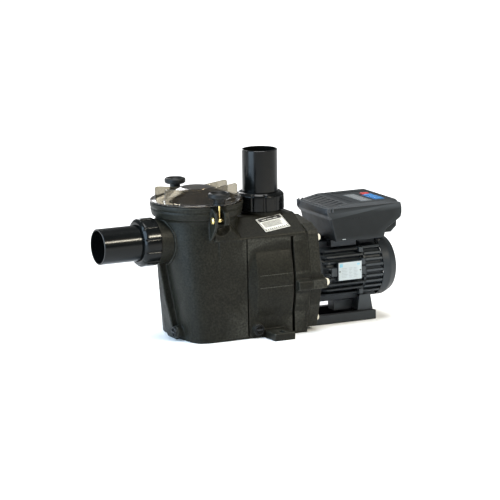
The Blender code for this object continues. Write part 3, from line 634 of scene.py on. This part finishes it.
def pump_body():
    body = pot_body()
    casing = mirrored([(0, 247.5, 0), (38, 247.5, 10), (91.5, 214.2, 6), (96, -9, 0)])
    strainer_line, volute_line = (0, *STRAINER_PLUG.yz), (VOLUTE_PLUG.x, 0, VOLUTE_PLUG.z)
    face_a, face_b = STRAINER_PLUG.x, VOLUTE_PLUG.y
    parts = [
        slab("casing", casing, -141, 60, "X", edge=0, bend=8),
        barrel("drum", DRUM_WIDTH, DRUM_HEIGHT, -74, 23, -9, 213),
        slab("flange_block", mirrored(FLANGE), 26, FLANGE_X + 2, "X", edge=0, bend=8),
        turned("suction_boss", [(0, -170), (46.8, -170), (46.5, BOSS_X, 1), (43, BOSS_X, 0.4),
                                (43, BOSS_X - 19.6), (0, BOSS_X - 19.6)], SUCTION, "X"),
        turned("discharge_boss", [(0, BOSS_Z + 19.6), (43, BOSS_Z + 19.6), (43, BOSS_Z, 0.4), (44.3, BOSS_Z, 1),
                                  (44.8, 228), (0, 228)]),
        keel(),
        block("feet", (-42, -145.8, -15), (6, 145.8, 16), 1.5),
        turned("strainer_drain_boss", [(0, -face_a), (13, -face_a, 1), (14.5, 185), (0, 185)], strainer_line, "-X"),
        turned("volute_drain_boss", [(0, -face_b), (12.5, -face_b, 1), (14, 80), (0, 80)], volute_line, "-Y"),
    ]
    for side in BOTH_SIDES:
        parts.append(slab("side_boss", on_side(side, SIDE_BOSS), 32, FLANGE_X + 3, "X", soft=2, edge=1.5))
        parts.append(shoulder(side))
    united(body, *parts)
    # the scoop that leaves room for the swing bolt
    for side in BOTH_SIDES:
        cut(body, ball("scoop", (-134, side * 104, 272), (31, 34, 52)))
    ring = turned("ring", [(0, RING_TOP), (97.4, RING_TOP, 1.4), (97.4, 277.5, 1), (94.8, 276.3, 0.5),
                           (94.8, 274, 0.5), (96.6, 272.4, 1.5), (93.5, 259, 2.5), (86, 255, 2), (84, 240),
                           (0, 240)], POT, steps=192)
    ears = [slab("ear", on_side(side, ear), start, end, "X", edge=0.8)
            for ear, start, end in ((OUTER_EAR, -161, -154.5), (INNER_EAR, -139.5, -128)) for side in BOTH_SIDES]
    united(body, ring, *ears)
    cut(
        body,
        turned("pot_cavity", [(0, 300), (82.7, 300), (82.7, 262), (77.5, 262), (45, 12, 8), (0, 12)], POT),
        turned("seal_groove", [(93.6, 300), (93.6, 282), (87.5, 282), (87.5, 300)], POT, soft=0),
        rod("suction_bore", BORE_RADIUS, -150, -290, SUCTION, "X"),
        turned("chamber", [(0, 80), (86, 80), (86, 59), (80, 59), (80, -56, 8), (0, -56)], SHAFT, "X"),
        rod("discharge_bore", BORE_RADIUS, 290, 150),
        rod("eye_passage", 30, -50, -120, SHAFT, "X"),
        rod("strainer_drain", 6.4, 240, 170, strainer_line, "-X"),
        rod("volute_drain", 6.4, 120, 20, volute_line, "-Y"),
        block("ground", (-400, -300, -90), (400, 300, 0), 0),
        block("flange_face", (FLANGE_X, -300, -90), (120, 300, 400), 0),
    )
    moulded(body, cell=1.5, passes=4, keep=0.42)
    # crisp details after the remesh: the boss and its bead, beads at the mould's parting, grooves, holes
    tip = BOSS_X + 0.1
    boss = turned("boss", [(35, -205), (47.2, -205), (46.9, tip, 1), (35, tip, 0.4)], SUCTION, "X", steps=FINE)
    bead = turned("bead", [(48.8, -190), (51.2, -190), (51.2, -250), (48.8, -250)], SUCTION, "X", soft=0, steps=FINE)
    united(body, boss, shared(bead, pot_body(1.7)))
    for low, high, proud in ((105.4, 107.4, 0.9), (131.6, 133, 0.4)):
        united(body, barrel("bead", DRUM_WIDTH + proud, DRUM_HEIGHT + proud, -68, 23, low, high))
    cutters = []
    for side in BOTH_SIDES:
        for low, high, depth, top in ((-79.5, -76, 90, 211), (24, 30.5, 84, 208)):
            inner, outer = sorted((side * depth, side * 130))
            cutters.append(block("groove", (low, inner, 5), (high, outer, top), 0))
        cutters.append(rod("pin_hole", 3.3, -120, -175, (0, side * KNOB_Y, PIVOT_Z), "X", soft=0))
        hole = [(-23, side * 117), (-13, side * 117), (-13, side * 139), (-23, side * 139)]
        cutters.append(slab("foot_slot", hole, -20, 30, soft=5, edge=0))
    cutters += [rod("insert_hole", 4.3, 80, 36, (0, y, z), "X", soft=0, steps=32) for y, z in FLANGE_BOLTS]
    cut(body, *cutters)
    stands_for(body, "pump_housing", BLACK_MOULDING, 50)


def sticker():
    """A blank instruction label on the casing's front slope: a frame, a header and bars for the lines of text."""
    down = Vector((0, -53.5, -33.3)).normalized()
    out = Vector((0, down.z, -down.y))
    tilt = radians(9.5)
    across = Vector((1, 0, 0)) * cos(tilt) - down * sin(tilt)
    along = out.cross(across)
    middle = Vector((-1.5, -38, 247.5)) + down * 27.5  # down the slope from its upper edge
    turn = Matrix((across, along, out)).transposed().to_4x4()

    def patch(name, low, high, start, end):
        return swung(block(name, (*low, start), (*high, end), 0), middle, turn)

    paper = patch("sticker_paper", (-31, -20), (31, 20), -0.6, 1.1)
    added(paper, "pump_housing", LABEL_WHITE, "nameplate_silver")
    black = [patch("edge", low, high, 0.8, 1.17) for low, high in (
        ((-30, 17.8), (30, 19)), ((-30, -19), (30, -17.8)), ((-30, -19), (-28.8, 19)), ((28.8, -19), (30, 19)),
        ((-28, 9), (28, 17.9)))]
    black += [patch("line", (-25, 5.4 - 2.4 * row), (25 - (row * 5) % 9, 6.7 - 2.4 * row), 0.8, 1.15)
              for row in range(7)]
    black += [patch("hatch", (-28 + 5.2 * i, -17.4), (-25.4 + 5.2 * i, -13), 0.8, 1.15) for i in range(11)]
    added(gathered(*black), "pump_housing", MARK_BLACK, "pipe_gloss")
    title = [patch("title", (-20 + 14 * i, 12.6), (-9 + 14 * i, 14), 0.8, 1.21) for i in range(3)]
    added(gathered(*title), "pump_housing", LABEL_WHITE, "nameplate_silver")


# Unions


def nut_reach(outer, valley, lugs=12):
    """The reach of a nut with broad lugs between narrow shallow valleys, at an angle."""
    def reach(turn):
        share = (turn * lugs / (2 * pi)) % 1.0
        away = abs(share - 0.5) * 2  # 1 in the middle of a lug, 0 in the middle of a valley
        rise = min(1.0, max(0.0, (away - 0.12) / 0.14))
        return outer - valley * (1 - rise * rise * (3 - 2 * rise))
    return reach


def union(prefix, at, axis, pipe_end):
    tail = [(36.4, pipe_end, 0.5), (PIPE_RADIUS, pipe_end - 0.9, 0.5), (PIPE_RADIUS, 31, 0.4), (43, 31, 0.4),
            (43, 24.3), (31.5, 24.3), (31.5, pipe_end - 55), (34.3, pipe_end - 54), (34.3, pipe_end, 0.5)]
    stands_for(turned(prefix + "_pipe", tail, at, axis, soft=0.4, steps=FINE), prefix + "_tailpipe", GLOSS_BLACK)
    outer = 50.4
    stations = [(43.6, 0.3), (outer - 3.0, 0.3), (nut_reach(outer - 1.2, 1.6), 0.9), (nut_reach(outer, 2.0), 2.4)]
    stations += [(nut_reach(outer, 2.0), h) for h in (8, 14, 20, 26, 31)]
    stations += [(nut_reach(outer - 0.5, 1.8), 33), (nut_reach(outer - 2.6, 0.9), 35.4), (outer - 5.4, 37.6),
                 (outer - 6.6, 38.4), (39.4, 38.6), (38.4, 38.2), (38.2, 37.4), (38.2, 31.4), (43.6, 31.3)]
    stands_for(polar(prefix + "_nut", stations, at, axis, 288), prefix + "_union_nut", GLOSS_BLACK)


def drain_plug(name, at, axis):
    """A screw-in plug: a raised ring round a dish, with a bar across it to turn it by."""
    profile = [(0, 1.6), (6.4, 1.6, 1), (8.4, 4.4), (10.2, 4.4, 1), (11.4, 3.2, 0.6), (11.4, 0.3, 0.3),
               (6.0, 0.3, 0.2), (6.0, -8), (0, -8)]
    plug = turned(name + "_cap", profile, at, axis, soft=0.5)
    bar = slab(name + "_bar", [(-7, -1.6), (7, -1.6), (7, 1.6), (-7, 1.6)], 0.8, 5.6, axis, at, soft=0.8, edge=0.5)
    stands_for(united(plug, bar), name, SATIN_BLACK)


# Lid and strainer


def lid():
    dome = [(0, 316), (32, 314.6, 12), (87, 292.6, 4), (95.5, 291, 1), (96.5, 290, 0.6), (96.5, 287.4, 0.5),
            (81.6, 287.4), (81.6, 276, 0.6), (78, 276, 0.6), (78, 288, 2), (33, 309.5, 12), (0, 311)]
    body = turned("lid", dome, POT, soft=0.5, steps=FINE)
    outline = [(-83.5, 291.2, 0), (-58, 299.5, 0), (-30, 310.5, 0), (0, 313, 0), (30, 310.5, 0), (58, 299.5, 0),
               (83.5, 291.2, 0), (83.5, 319.5, 6), (24, 312, 0), (-24, 312, 0), (-83.5, 319.5, 6)]
    plates = [slab("lid_plate", outline, -1.6, 1.6, "-Y", POT + Vector((0, side * 24, 0)), edge=0.5, bend=6)
              for side in BOTH_SIDES]
    stands_for(body, "strainer_lid", LID_SMOKE, 40)
    for prefix, plate in zip(SIDES, plates):
        plate.name = prefix + "_lid_plate"
        added(plate, "strainer_lid", LID_PLATE)
    ring = [(93.1, 284.7), (92.4, 286.4), (90.75, 287.1), (89.1, 286.4), (88.4, 284.7), (89.1, 283), (90.75, 282.3),
            (92.4, 283)]
    stands_for(turned("lid_ring_seal", ring, POT, soft=1), "lid_seal", RUBBER, 180)


def basket():
    body = turned("basket_body", [(0, 33), (40.5, 33, 2), (71.5, 265.9), (81.3, 265.9, 0.6), (81.3, 262.4, 0.6),
                                  (74, 262.4, 1), (43, 30, 3), (0, 30)], POT, steps=128)
    rows, around = 8, 28
    slots = [swung(block("slot", (20, -2.6, 48 + 15 * row), (95, 2.6, 59 + 15 * row), 0), POT,
                   Matrix.Rotation(2 * pi * (i + 0.5) / around, 4, "Z"))
             for row in range(rows) for i in range(around)]
    window = rod("window", 34, -190, -240, SUCTION, "X")
    cut(body, gathered(*slots), window)
    stands_for(body, "strainer_basket", BASKET_BROWN)
    points = [POT + Vector((0, -67, z)) for z in (252, 258, 264)]
    points += [POT + Vector((67 * sin(t), -67 * cos(t), 268.7)) for t in [pi * i / 32 for i in range(33)]]
    points += [POT + Vector((0, 67, z)) for z in (264, 258, 252)]
    stands_for(tube("bail", points, 2), "basket_handle", BASKET_BROWN, 60)


def lid_fastening(prefix, side):
    pivot = Vector((KNOB_X, side * KNOB_Y, PIVOT_Z))
    eye = [(3.35, -4.4), (3.9, -4.5, 0.3), (5.1, -2.4, 2), (5.1, 2.4, 2), (3.9, 4.5, 0.3), (3.35, 4.4)]
    bolt = turned("bolt_eye", eye, pivot, "X", soft=0.2, steps=64)
    shank = [(0, 4.2), (1.9, 4.2), (1.9, 31.4), (3.2, 32)]
    for turn in range(10):
        shank += [(3.2, 33 + 1.4 * turn), (2.75, 33.7 + 1.4 * turn)]
    shank += [(3.2, 46.6), (2.4, 48), (0, 48)]
    stands_for(united(bolt, polar("bolt_shank", shank, pivot, "Z", 32)), prefix + "_swing_bolt", BRASS)
    pin = [(0, 17), (2.6, 17), (3, 16.4), (3, -14.3, 0.2), (7.6, -14.3, 0.4), (7.7, -16.2, 1.4), (4.6, -18.4, 1.5),
           (0, -18.5)]
    stands_for(turned("pin", pin, pivot, "X", steps=64), prefix + "_pivot_pin", BRASS)
    top = [(0, 313), (13.6, 313, 3), (17.8, 317.9, 1.6), (19.6, 317.9, 2.4), (22.5, 315.4, 2.4), (22.5, 308.8, 2.4),
           (19.6, 306, 2.4), (11.6, 305.6, 1.2), (11, 298, 2), (12.6, 295.5, 2), (12.6, 291.9, 0.6), (3.7, 291.9),
           (3.7, 309), (0, 309)]
    stands_for(turned("knob", top, (KNOB_X, side * KNOB_Y, 0), soft=0.4, steps=128),
               prefix + "_hand_knob", SATIN_BLACK, 40)


# Bracket and motor


FLANGE_BOLTS = [(side * y, z) for y, z in ((80, 197), (104, 105), (70, 25)) for side in BOTH_SIDES]
BOLT_HEAD = 7  # the height of a flange bolt's head


def motor_bracket():
    plate = mirrored([(0, 235, 0), (60, 226, 14), (86, 215, 6), (90, 208, 4), (94.5, 176, 30), (102, 128, 30),
                      (103, 95, 20), (95, 55, 30), (83, 22, 10), (81, 8, 3)])
    body = slab("plate", plate, 65.3, 90, "X", edge=1.6, bend=8, segments=3)
    parts = [turned("neck", [(0, 104), (68.6, 104, 1), (71, 101.6, 1.5), (71, 95), (75, 89), (75, 75), (85.6, 75),
                             (85.6, 59.5), (79, 59.5), (79, 46), (0, 46)], SHAFT, "X", steps=FINE)]
    parts += [slab("boss", on_side(side, SIDE_BOSS), 65.3, 98, "X", soft=2.5, edge=1.6)
              for side in BOTH_SIDES]
    united(body, *parts)
    bore = [(0, 90), (10, 90), (10, 68.3), (17.7, 68.3), (17.7, 61.6), (19.5, 60), (19.5, 40), (0, 40)]
    cut(
        body,
        turned("seal_bore", bore, SHAFT, "X", soft=0),
        turned("dry_cavity", [(0, 110), (58, 110), (58, 62), (26, 58), (24, 77), (0, 77)], SHAFT, "X", soft=1),
        turned("seal_groove", [(90, 64.4), (90, 60.7), (82.3, 60.7), (82.3, 64.4)], SHAFT, "X", soft=0),
        *[rod("hole", 4.3, 105, 60, (0, y, z), "X", steps=32) for y, z in FLANGE_BOLTS],
    )
    stands_for(body, "motor_bracket", BLACK_MOULDING)


def hexagon(across):
    """The reach of a hexagon at an angle, from its size across the flats."""
    return lambda turn: across / 2 / cos((turn + pi / 6) % (pi / 3) - pi / 6)


def flange_bolt(number):
    node = f"flange_bolt_{number}"
    low, high = span(node)
    seat = high.x - BOLT_HEAD
    at = (0, centre(node).y, centre(node).z)
    six = hexagon(13)
    head = [(0, high.x - 0.9), (4.2, high.x - 0.9), (4.9, high.x), (6.1, high.x), (six, high.x - 1.1),
            (six, seat + 2.0), (8.6, seat + 1.5), (9, seat + 0.9), (9, seat), (4, seat), (4, low.x + 1),
            (3.2, low.x), (0, low.x)]
    stands_for(polar("bolt", head, at, "X", 72), node, BOLT_CREAM)


def fin_section(root, tip, half_root, half_tip, pitch=11.8):
    """The motor's section in mm: level fins on its sides and fewer upright ones above and below."""
    outline = []
    for quarter in range(4):
        count = 2 if quarter % 2 else 4
        for i in range(-count, count + 1):
            for edge, radius in ((-half_root, root), (-half_tip, tip), (half_tip, tip), (half_root, root)):
                across = pitch * i + edge
                reach = Vector((sqrt(radius ** 2 - across ** 2), across))
                reach.rotate(Matrix.Rotation(pi / 2 * quarter, 2))
                outline.append((*reach, 0.9))
    return outline


def endshields():
    front = [(56.8, 126.7, 0.5), (56.8, 117, 1), (62, 115.5, 2), (65.5, 113, 2), (66, 107.5, 2.5), (62, 104.3, 2),
             (12, 104.3), (12, 105.6), (23.3, 105.6), (23.3, 119), (28, 119), (28, 111), (51, 111), (51, 126.7)]
    stands_for(turned("front_shield", front, SHAFT, "X", soft=0.3, steps=FINE), "motor_front_endshield", MOTOR_PAINT)
    rear = [(51, 214.3), (62.6, 214.3), (63, 215), (63, 219), (59, 221), (59, 256), (62, 257.4), (62, 258), (58, 258),
            (58, 246), (12, 246), (12, 239.4), (23.3, 239.4), (23.3, 227), (28, 227), (28, 240), (51, 240)]
    body = turned("rear_shield", rear, SHAFT, "X", soft=0.3, steps=FINE)
    fins = slab("fins", fin_section(58.5, 66, 2.6, 2.1), 217, 257.9, "X", SHAFT, soft=0.9, edge=0)
    cut(fins, rod("bore", 58, 270, 200, SHAFT, "X", soft=0, steps=128))
    stands_for(united(body, fins), "motor_rear_endshield", MOTOR_PAINT)


def motor_frame():
    start, end = FRAME_LOW.x - 10.3, FRAME_HIGH.x
    body = slab("fins", fin_section(57, 69, 2.3, 1.7), start, end, "X", SHAFT, soft=0.9, edge=0)
    envelope = [(0, start), (58, start), (60, start + 1.5), (68.9, start + 10, 1.5), (69.3, end - 2), (66, end),
                (0, end)]
    shared(body, turned("fin_ends", envelope, SHAFT, "X", steps=FINE))
    low, high = span("motor_nameplate")
    cut(body, block("plate_recess", (low.x - 17, -90, low.z - 3.5), (high.x + 14, -59.5, high.z + 3.5), 0))
    united(
        body,
        block("plate_pad", (low.x - 1, high.y + 0.06, low.z - 1), (high.x + 1, -50, high.z + 1), 0.8),
        block("left_tab", (low.x - 15, -67, low.z + 9), (low.x - 1, -50, low.z + 27), 1),
        block("right_tab", (high.x + 1.6, -66.5, low.z + 8), (high.x + 12, -50, low.z + 25), 1),
        block("upper_tab", (high.x + 2, -67, low.z + 28.5), (high.x + 10.5, -50, high.z + 3), 0.8),
        block("high_tab", (204, -57, 150), (213.8, -40, 160), 0.8),
        block("low_tab", (204, -57, 60), (213.8, -40, 71), 0.8),
        block("drive_pad", (145, -42, 164), (205, 42, 178.9), 0.8),
    )
    cut(
        body,
        rod("bore", 52, 240, 100, SHAFT, "X", soft=0, steps=128),
        rod("shield_seat", 57.2, FRAME_LOW.x, 90, SHAFT, "X", soft=0, steps=128),
    )
    stands_for(body, "motor_frame", MOTOR_PAINT)


def nameplate():
    low, high = span("motor_nameplate")
    stands_for(block("plate", low, high, 0.35), "motor_nameplate", PLATE_SILVER)
    face = low.y - 0.01

    def printed(name, x, z, width, height, proud):
        return block(name, (x, face - proud, z), (x + width, face + 0.3, z + height), 0)

    marks = [printed("mark", low.x + x, high.z - z, 2.8, 2.8, 0.12) for x in (3, 6.6) for z in (6, 9.6)]
    marks += [printed("mark", high.x - x, high.z - 7.6, 1.6, 3.6, 0.12) for x in (10, 7)]
    added(gathered(*marks), "motor_nameplate", MARK_BLUE)
    lines = [printed("line", low.x + start, high.z - 13.4 - 3.2 * row, end - start - (row * 7 + start) % 5, 0.8,
                     0.08) for row in range(7) for start, end in ((7, 22), (25, 33), (36, 46))]
    added(gathered(*lines), "motor_nameplate", PLATE_GREY)
    for i, x in enumerate((low.x + 3, high.x - 3), 1):
        rivet = turned(f"plate_rivet_{i}", [(0, 0.9), (1.1, 0.7), (1.7, 0), (1.7, -0.6), (0, -0.6)],
                       (x, low.y, (low.z + high.z) / 2), "-Y", soft=0.3, steps=32)
        added(rivet, "motor_nameplate", STEEL_DARK)


def fan_cover():
    end = span("fan_cover")[1].x
    profile = [(0, end), (44, end, 4), (58, end - 6, 10), (66, end - 23, 12), (66, 258.8, 0.4), (64.2, 258.8),
               (64.2, end - 23, 10), (57, end - 7.6, 8), (44, end - 2, 3), (0, end - 2)]
    body = turned("cowl", profile, SHAFT, "X", soft=0.3, steps=FINE, bend=6)
    count = 16
    slots = [swung(slab("slot", [(17, -1.9), (39, -1.9), (39, 1.9), (17, 1.9)], end - 12, end + 9, soft=1.8, edge=0),
                   SHAFT, AXES["X"].to_4x4() @ Matrix.Rotation(2 * pi * i / count, 4, "Z")) for i in range(count)]
    cut(body, gathered(*slots))
    stands_for(body, "fan_cover", MOTOR_PAINT)
    profile = [(0, 67.6), (2.2, 67.6, 0.8), (2.9, 65.4), (2.9, 64.9), (0, 64.9)]
    for i in range(4):
        turn = Matrix.Rotation(pi / 6 * (1 + 3 * i + i % 2), 4, "X")
        screw = swung(turned(f"cowl_screw_{i + 1}", profile, steps=32), (264, 0, SHAFT.z), turn)
        added(screw, "fan_cover", STEEL_DARK, "steel_turned")


def motor_supports():
    stand = [(208, 20.3), (245, 20.3), (238, 62), (214, 62)]
    body = slab("stand", stand, -41, 41, "-Y", soft=2, edge=1)
    united(body, block("web", (165, -14, 20.3), (212, 14, 60), 1))
    cut(body, rod("cradle", 69.5, 300, 100, SHAFT, "X", soft=0, steps=128))
    stands_for(body, "motor_pedestal", MOTOR_PAINT)
    base = block("rail", (91.5, -50, 0), (248, -36, 20), 1.5)
    united(
        base,
        block("rail", (91.5, 36, 0), (248, 50, 20), 1.5),
        block("bar", (91.8, -40, 4), (100, 40, 16), 1),
        block("plate", (205, -40, 2), (247.7, 40, 19.6), 1),
    )
    stands_for(base, "motor_base", BASE_BLACK)


# Drive


def drive():
    half = (DRIVE_HIGH.y - DRIVE_LOW.y) / 2
    seam, top = COVER_LOW.z, COVER_HIGH.z
    beyond, wall = half + 5, 4
    side = [(143, 179.3, 4), (131, 227, 12), (124, 236, 8), (122.9, seam + 6, 0), (297.3, seam + 6, 0), (301, 240, 6),
            (301, 230, 6), (299, 220, 5), (294, 216, 4), (262, 196, 8), (258, 179.3, 3)]
    body = slab("drive_shell", side, -half, half, "-Y", edge=1.8, bend=6, segments=4)
    box_side = [(250, 186.5, 0), (281, 186.5, 3), (294, 198, 3), (296, 226, 0), (250, 226, 0)]
    united(body, slab("terminal_box", box_side, -58, 58, "-Y", edge=2, segments=3))
    inside = [(147, 183), (136, 226), (137, 262), (286, 262), (292, 229), (286, 218), (258, 199), (254, 183)]
    gland = centre("cable_gland")
    terminal = [(245, 190), (280, 190), (290, 199), (290, 225), (245, 225)]
    cut(
        body,
        slab("inside", inside, -half + wall, half - wall, "-Y", edge=0),
        slab("terminal_inside", terminal, -54, 54, "-Y", edge=0),
        block("cover_seat", (COVER_LOW.x - 0.3, -beyond, seam - 0.3), (COVER_HIGH.x + 0.3, beyond, seam + 20), 0),
        block("rim_top", (100, -beyond, seam - 0.15), (320, beyond, seam + 20), 0),
        block("cable_way", (165, -15, 170), (190, 15, 190), 0),
        rod("gland_hole", 8.3, 200, 170, (gland.x, gland.y, 0), steps=48),
        block("side_line", (150, -half - 0.5, 225.8), (212, -half + 0.25, 226.4), 0),
    )
    stands_for(body, "drive_body", DRIVE_GREY)
    latches = []
    corner = [(130.2, 228), (123.2, 236.5), (122.2, 243), (125.6, 243), (126.6, 237.5), (133, 229.5)]
    ribs = ((121.9, 9, 243, 125.4, 0.6, 2), (126.4, 1, 244, 129.4, 1.8, 3), (134, 1, 244, 137.2, 1.8, 3.4))
    for side in BOTH_SIDES:
        for x0, inward, z0, x1, proud, above in ribs:
            near, far = sorted((side * (half - inward), side * (half + proud)))
            latches.append(block("latch", (x0, near, z0), (x1, far, seam + above), 0.7))
        near, far = sorted((side * (half - 3), side * (half + 0.6)))
        latches.append(slab("corner", corner, near, far, "-Y", soft=0.6, edge=0.4))
    added(gathered(*latches), "drive_body", COVER_GREY)
    mark = block("moulded_mark", (158, -half - 0.25, 183), (166, -half + 0.4, 184.2), 0)
    added(mark, "drive_body", PLATE_SILVER, "nameplate_silver")

    outline = [(131, seam - 6, 0), (131, seam + 1, 1), (171, top, 5), (284, top, 3), (290, top - 4, 3),
               (291, seam - 6, 0)]
    cover = slab("cover_shell", outline, -half, half, "-Y", edge=1.8, bend=6, segments=4)
    under = [(156, seam - 5), (156, seam + 1.5), (174, top - 4), (282, top - 4), (284, seam - 5)]
    groove = [(137, seam + 1.9), (166, top - 2.1), (166, top + 6), (137, top + 6)]
    vents = [slab("vent", groove, y - 3.6, y + 3.6, "-Y", soft=0, edge=0) for y in range(-54, 55, 18)]
    keys = ("stop_button", "start_button", "down_button", "up_button")

    def openings(chosen):
        return [block("key_opening", (249, centre(key).y - 7, top - 20), (267, centre(key).y + 7, top + 5), 0.6)
                for key in chosen]

    cut(
        cover,
        block("skirt", (100, -90, seam - 30), (320, 90, seam), 0),
        slab("under", under, -half + 6, half - 6, "-Y", edge=0),
        *vents,
        block("panel_recess", (194, -62, top - 1.2), (280, 52, top + 5), 0.8),
        block("step", (178, -half + 10, top - 0.5), (187, half - 10, top + 5), 0),
        block("window_opening", (211, -58, top - 20), (237, 28, top + 5), 0),
        *openings(keys),
    )
    stands_for(cover, "drive_cover", COVER_GREY)
    pad = block("key_pad", (246.5, -51.5, top - 1.4), (269.5, 9, top - 0.95), 0)
    cut(pad, *openings(keys[1:]))
    added(pad, "drive_cover", KEY_BLUE, "key_blue")

    low, high = span("display_window")
    stands_for(block("window", low, high, 0.3), "display_window", DISPLAY)
    bars = [block("bar", (low.x + 8, y, high.z - 0.1), (high.x - 8, y + 8, high.z + 0.04), 0)
            for y in [low.y + 10 + 11 * i for i in range(6)]]
    added(gathered(*bars), "display_window", MARK_GREY)
    for key in keys:
        low, high = span(key)
        cap = block("cap", (249.4, low.y + 1.9, high.z - 6.4), (266.6, high.y - 1.9, high.z), 1.2, 3)
        skirt = block("skirt", low, (high.x, high.y, low.z + 1.9), 0.3)
        stands_for(united(cap, skirt), key, KEY_RED if key == "stop_button" else KEY_BLUE)

    profile = [(0, 196.5), (8, 196.5), (8, 186.2), (11, 186.2, 0.5), (11, 176.5, 1), (9, 175.5, 0.5), (8, 168.5, 2),
               (5, 166.5, 0.5), (0, 166.5)]
    stands_for(turned("gland", profile, (gland.x, gland.y, 0), steps=48), "cable_gland", SATIN_BLACK)


def inner_parts():
    """The CAD's own shapes inside the pump and the motor, with better finishes."""
    for node, slot in SLOT_OF.items():
        obj = bpy.data.objects.get(node)
        if obj and not obj.hide_render and slot in INNER_FINISHES:
            obj.material_slots[0].material = INNER_FINISHES[slot]


# Stage

FLOOR_REACH = 30  # metres
SKY_STRENGTH = 0.22
SUN_STRENGTH = 3.15
SUN_ANGLE = radians(36)


def camera():
    """The view from the front left, a little above, through a long lens."""
    azimuth, elevation, roll = radians(-26.62), radians(12.49), radians(0.76)
    distance, drop, lens_in_frames = 8123.4, 43.8, 7.6766
    aside, above = 0.024, 0.194  # from the line to the object to the frame's middle, in frame widths
    back = Vector((sin(azimuth) * cos(elevation), -cos(azimuth) * cos(elevation), sin(elevation)))
    right = Vector((cos(azimuth), sin(azimuth), 0))
    up = back.cross(right)
    right, up = right * cos(roll) - up * sin(roll), up * cos(roll) + right * sin(roll)
    look = (-back + right * (-aside / lens_in_frames) + up * (above / lens_in_frames)).normalized()
    side = look.cross(up).normalized()
    top = side.cross(look)
    turn = Matrix((side, top, -look)).transposed()
    data = bpy.data.cameras.new("camera")
    data.lens = lens_in_frames * data.sensor_width
    data.clip_end = 100
    obj = placed("camera", data)
    obj.matrix_world = Matrix.Translation((back * distance - Vector((0, 0, drop))) * MM) @ turn.to_4x4()
    bpy.context.scene.camera = obj


def area_light(name, place, target, width, height, power, colour):
    data = bpy.data.lights.new(name, "AREA")
    data.energy = power
    data.color = colour
    data.shape = "RECTANGLE"
    data.size, data.size_y = width, height
    obj = placed(name, data)
    obj.location = place
    obj.visible_camera = False
    obj.rotation_euler = (Vector(target) - Vector(place)).to_track_quat("-Z", "Y").to_euler()


def stage():
    form = bmesh.new()
    bmesh.ops.create_grid(form, x_segments=1, y_segments=1, size=FLOOR_REACH)
    floor = shaped("floor", form)
    paint = Paint("floor_paper", (0.90, 0.90, 0.90), 0.9, specular=0.0)
    paint.mottled(3, 0.01)
    floor.data.materials.append(paint.material)
    world = bpy.data.worlds.new("studio")
    world.use_nodes = True
    sky = world.node_tree.nodes["Background"].inputs
    sky["Color"].default_value = (0.95, 0.98, 1.0, 1)
    sky["Strength"].default_value = SKY_STRENGTH
    bpy.context.scene.world = world
    bpy.context.scene.view_settings.view_transform = "Standard"
    data = bpy.data.lights.new("overhead", "SUN")
    data.energy = SUN_STRENGTH
    data.angle = SUN_ANGLE
    placed("overhead", data)
    area_light("back_panel", (0.3, 2.6, 1.65), (-0.2, 0, 0.3), 0.9, 1.3, 40, (1, 1, 1))
    area_light("front_strip", (0.8, -1.85, 1.5), (-0.29, 0, 0.19), 0.6, 0.2, 38, (1, 0.93, 0.76))
    area_light("left_panel", (-1.3, -0.15, 0.6), (-0.15, 0, 0.15), 1.0, 1.1, 29, (0.58, 0.79, 1.0))


camera()
stage()
pump_body()
union("suction", Vector((BOSS_X, 0, SUCTION.z)), "-X", 125.5)
union("discharge", Vector((0, 0, BOSS_Z)), "Z", 128)
drain_plug("strainer_drain_plug", STRAINER_PLUG, "-X")
drain_plug("volute_drain_plug", VOLUTE_PLUG, "-Y")
sticker()
lid()
basket()
for prefix, side in SIDES.items():
    lid_fastening(prefix, side)
motor_bracket()
for number in range(1, 7):
    flange_bolt(number)
endshields()
motor_frame()
nameplate()
fan_cover()
motor_supports()
drive()
inner_parts()
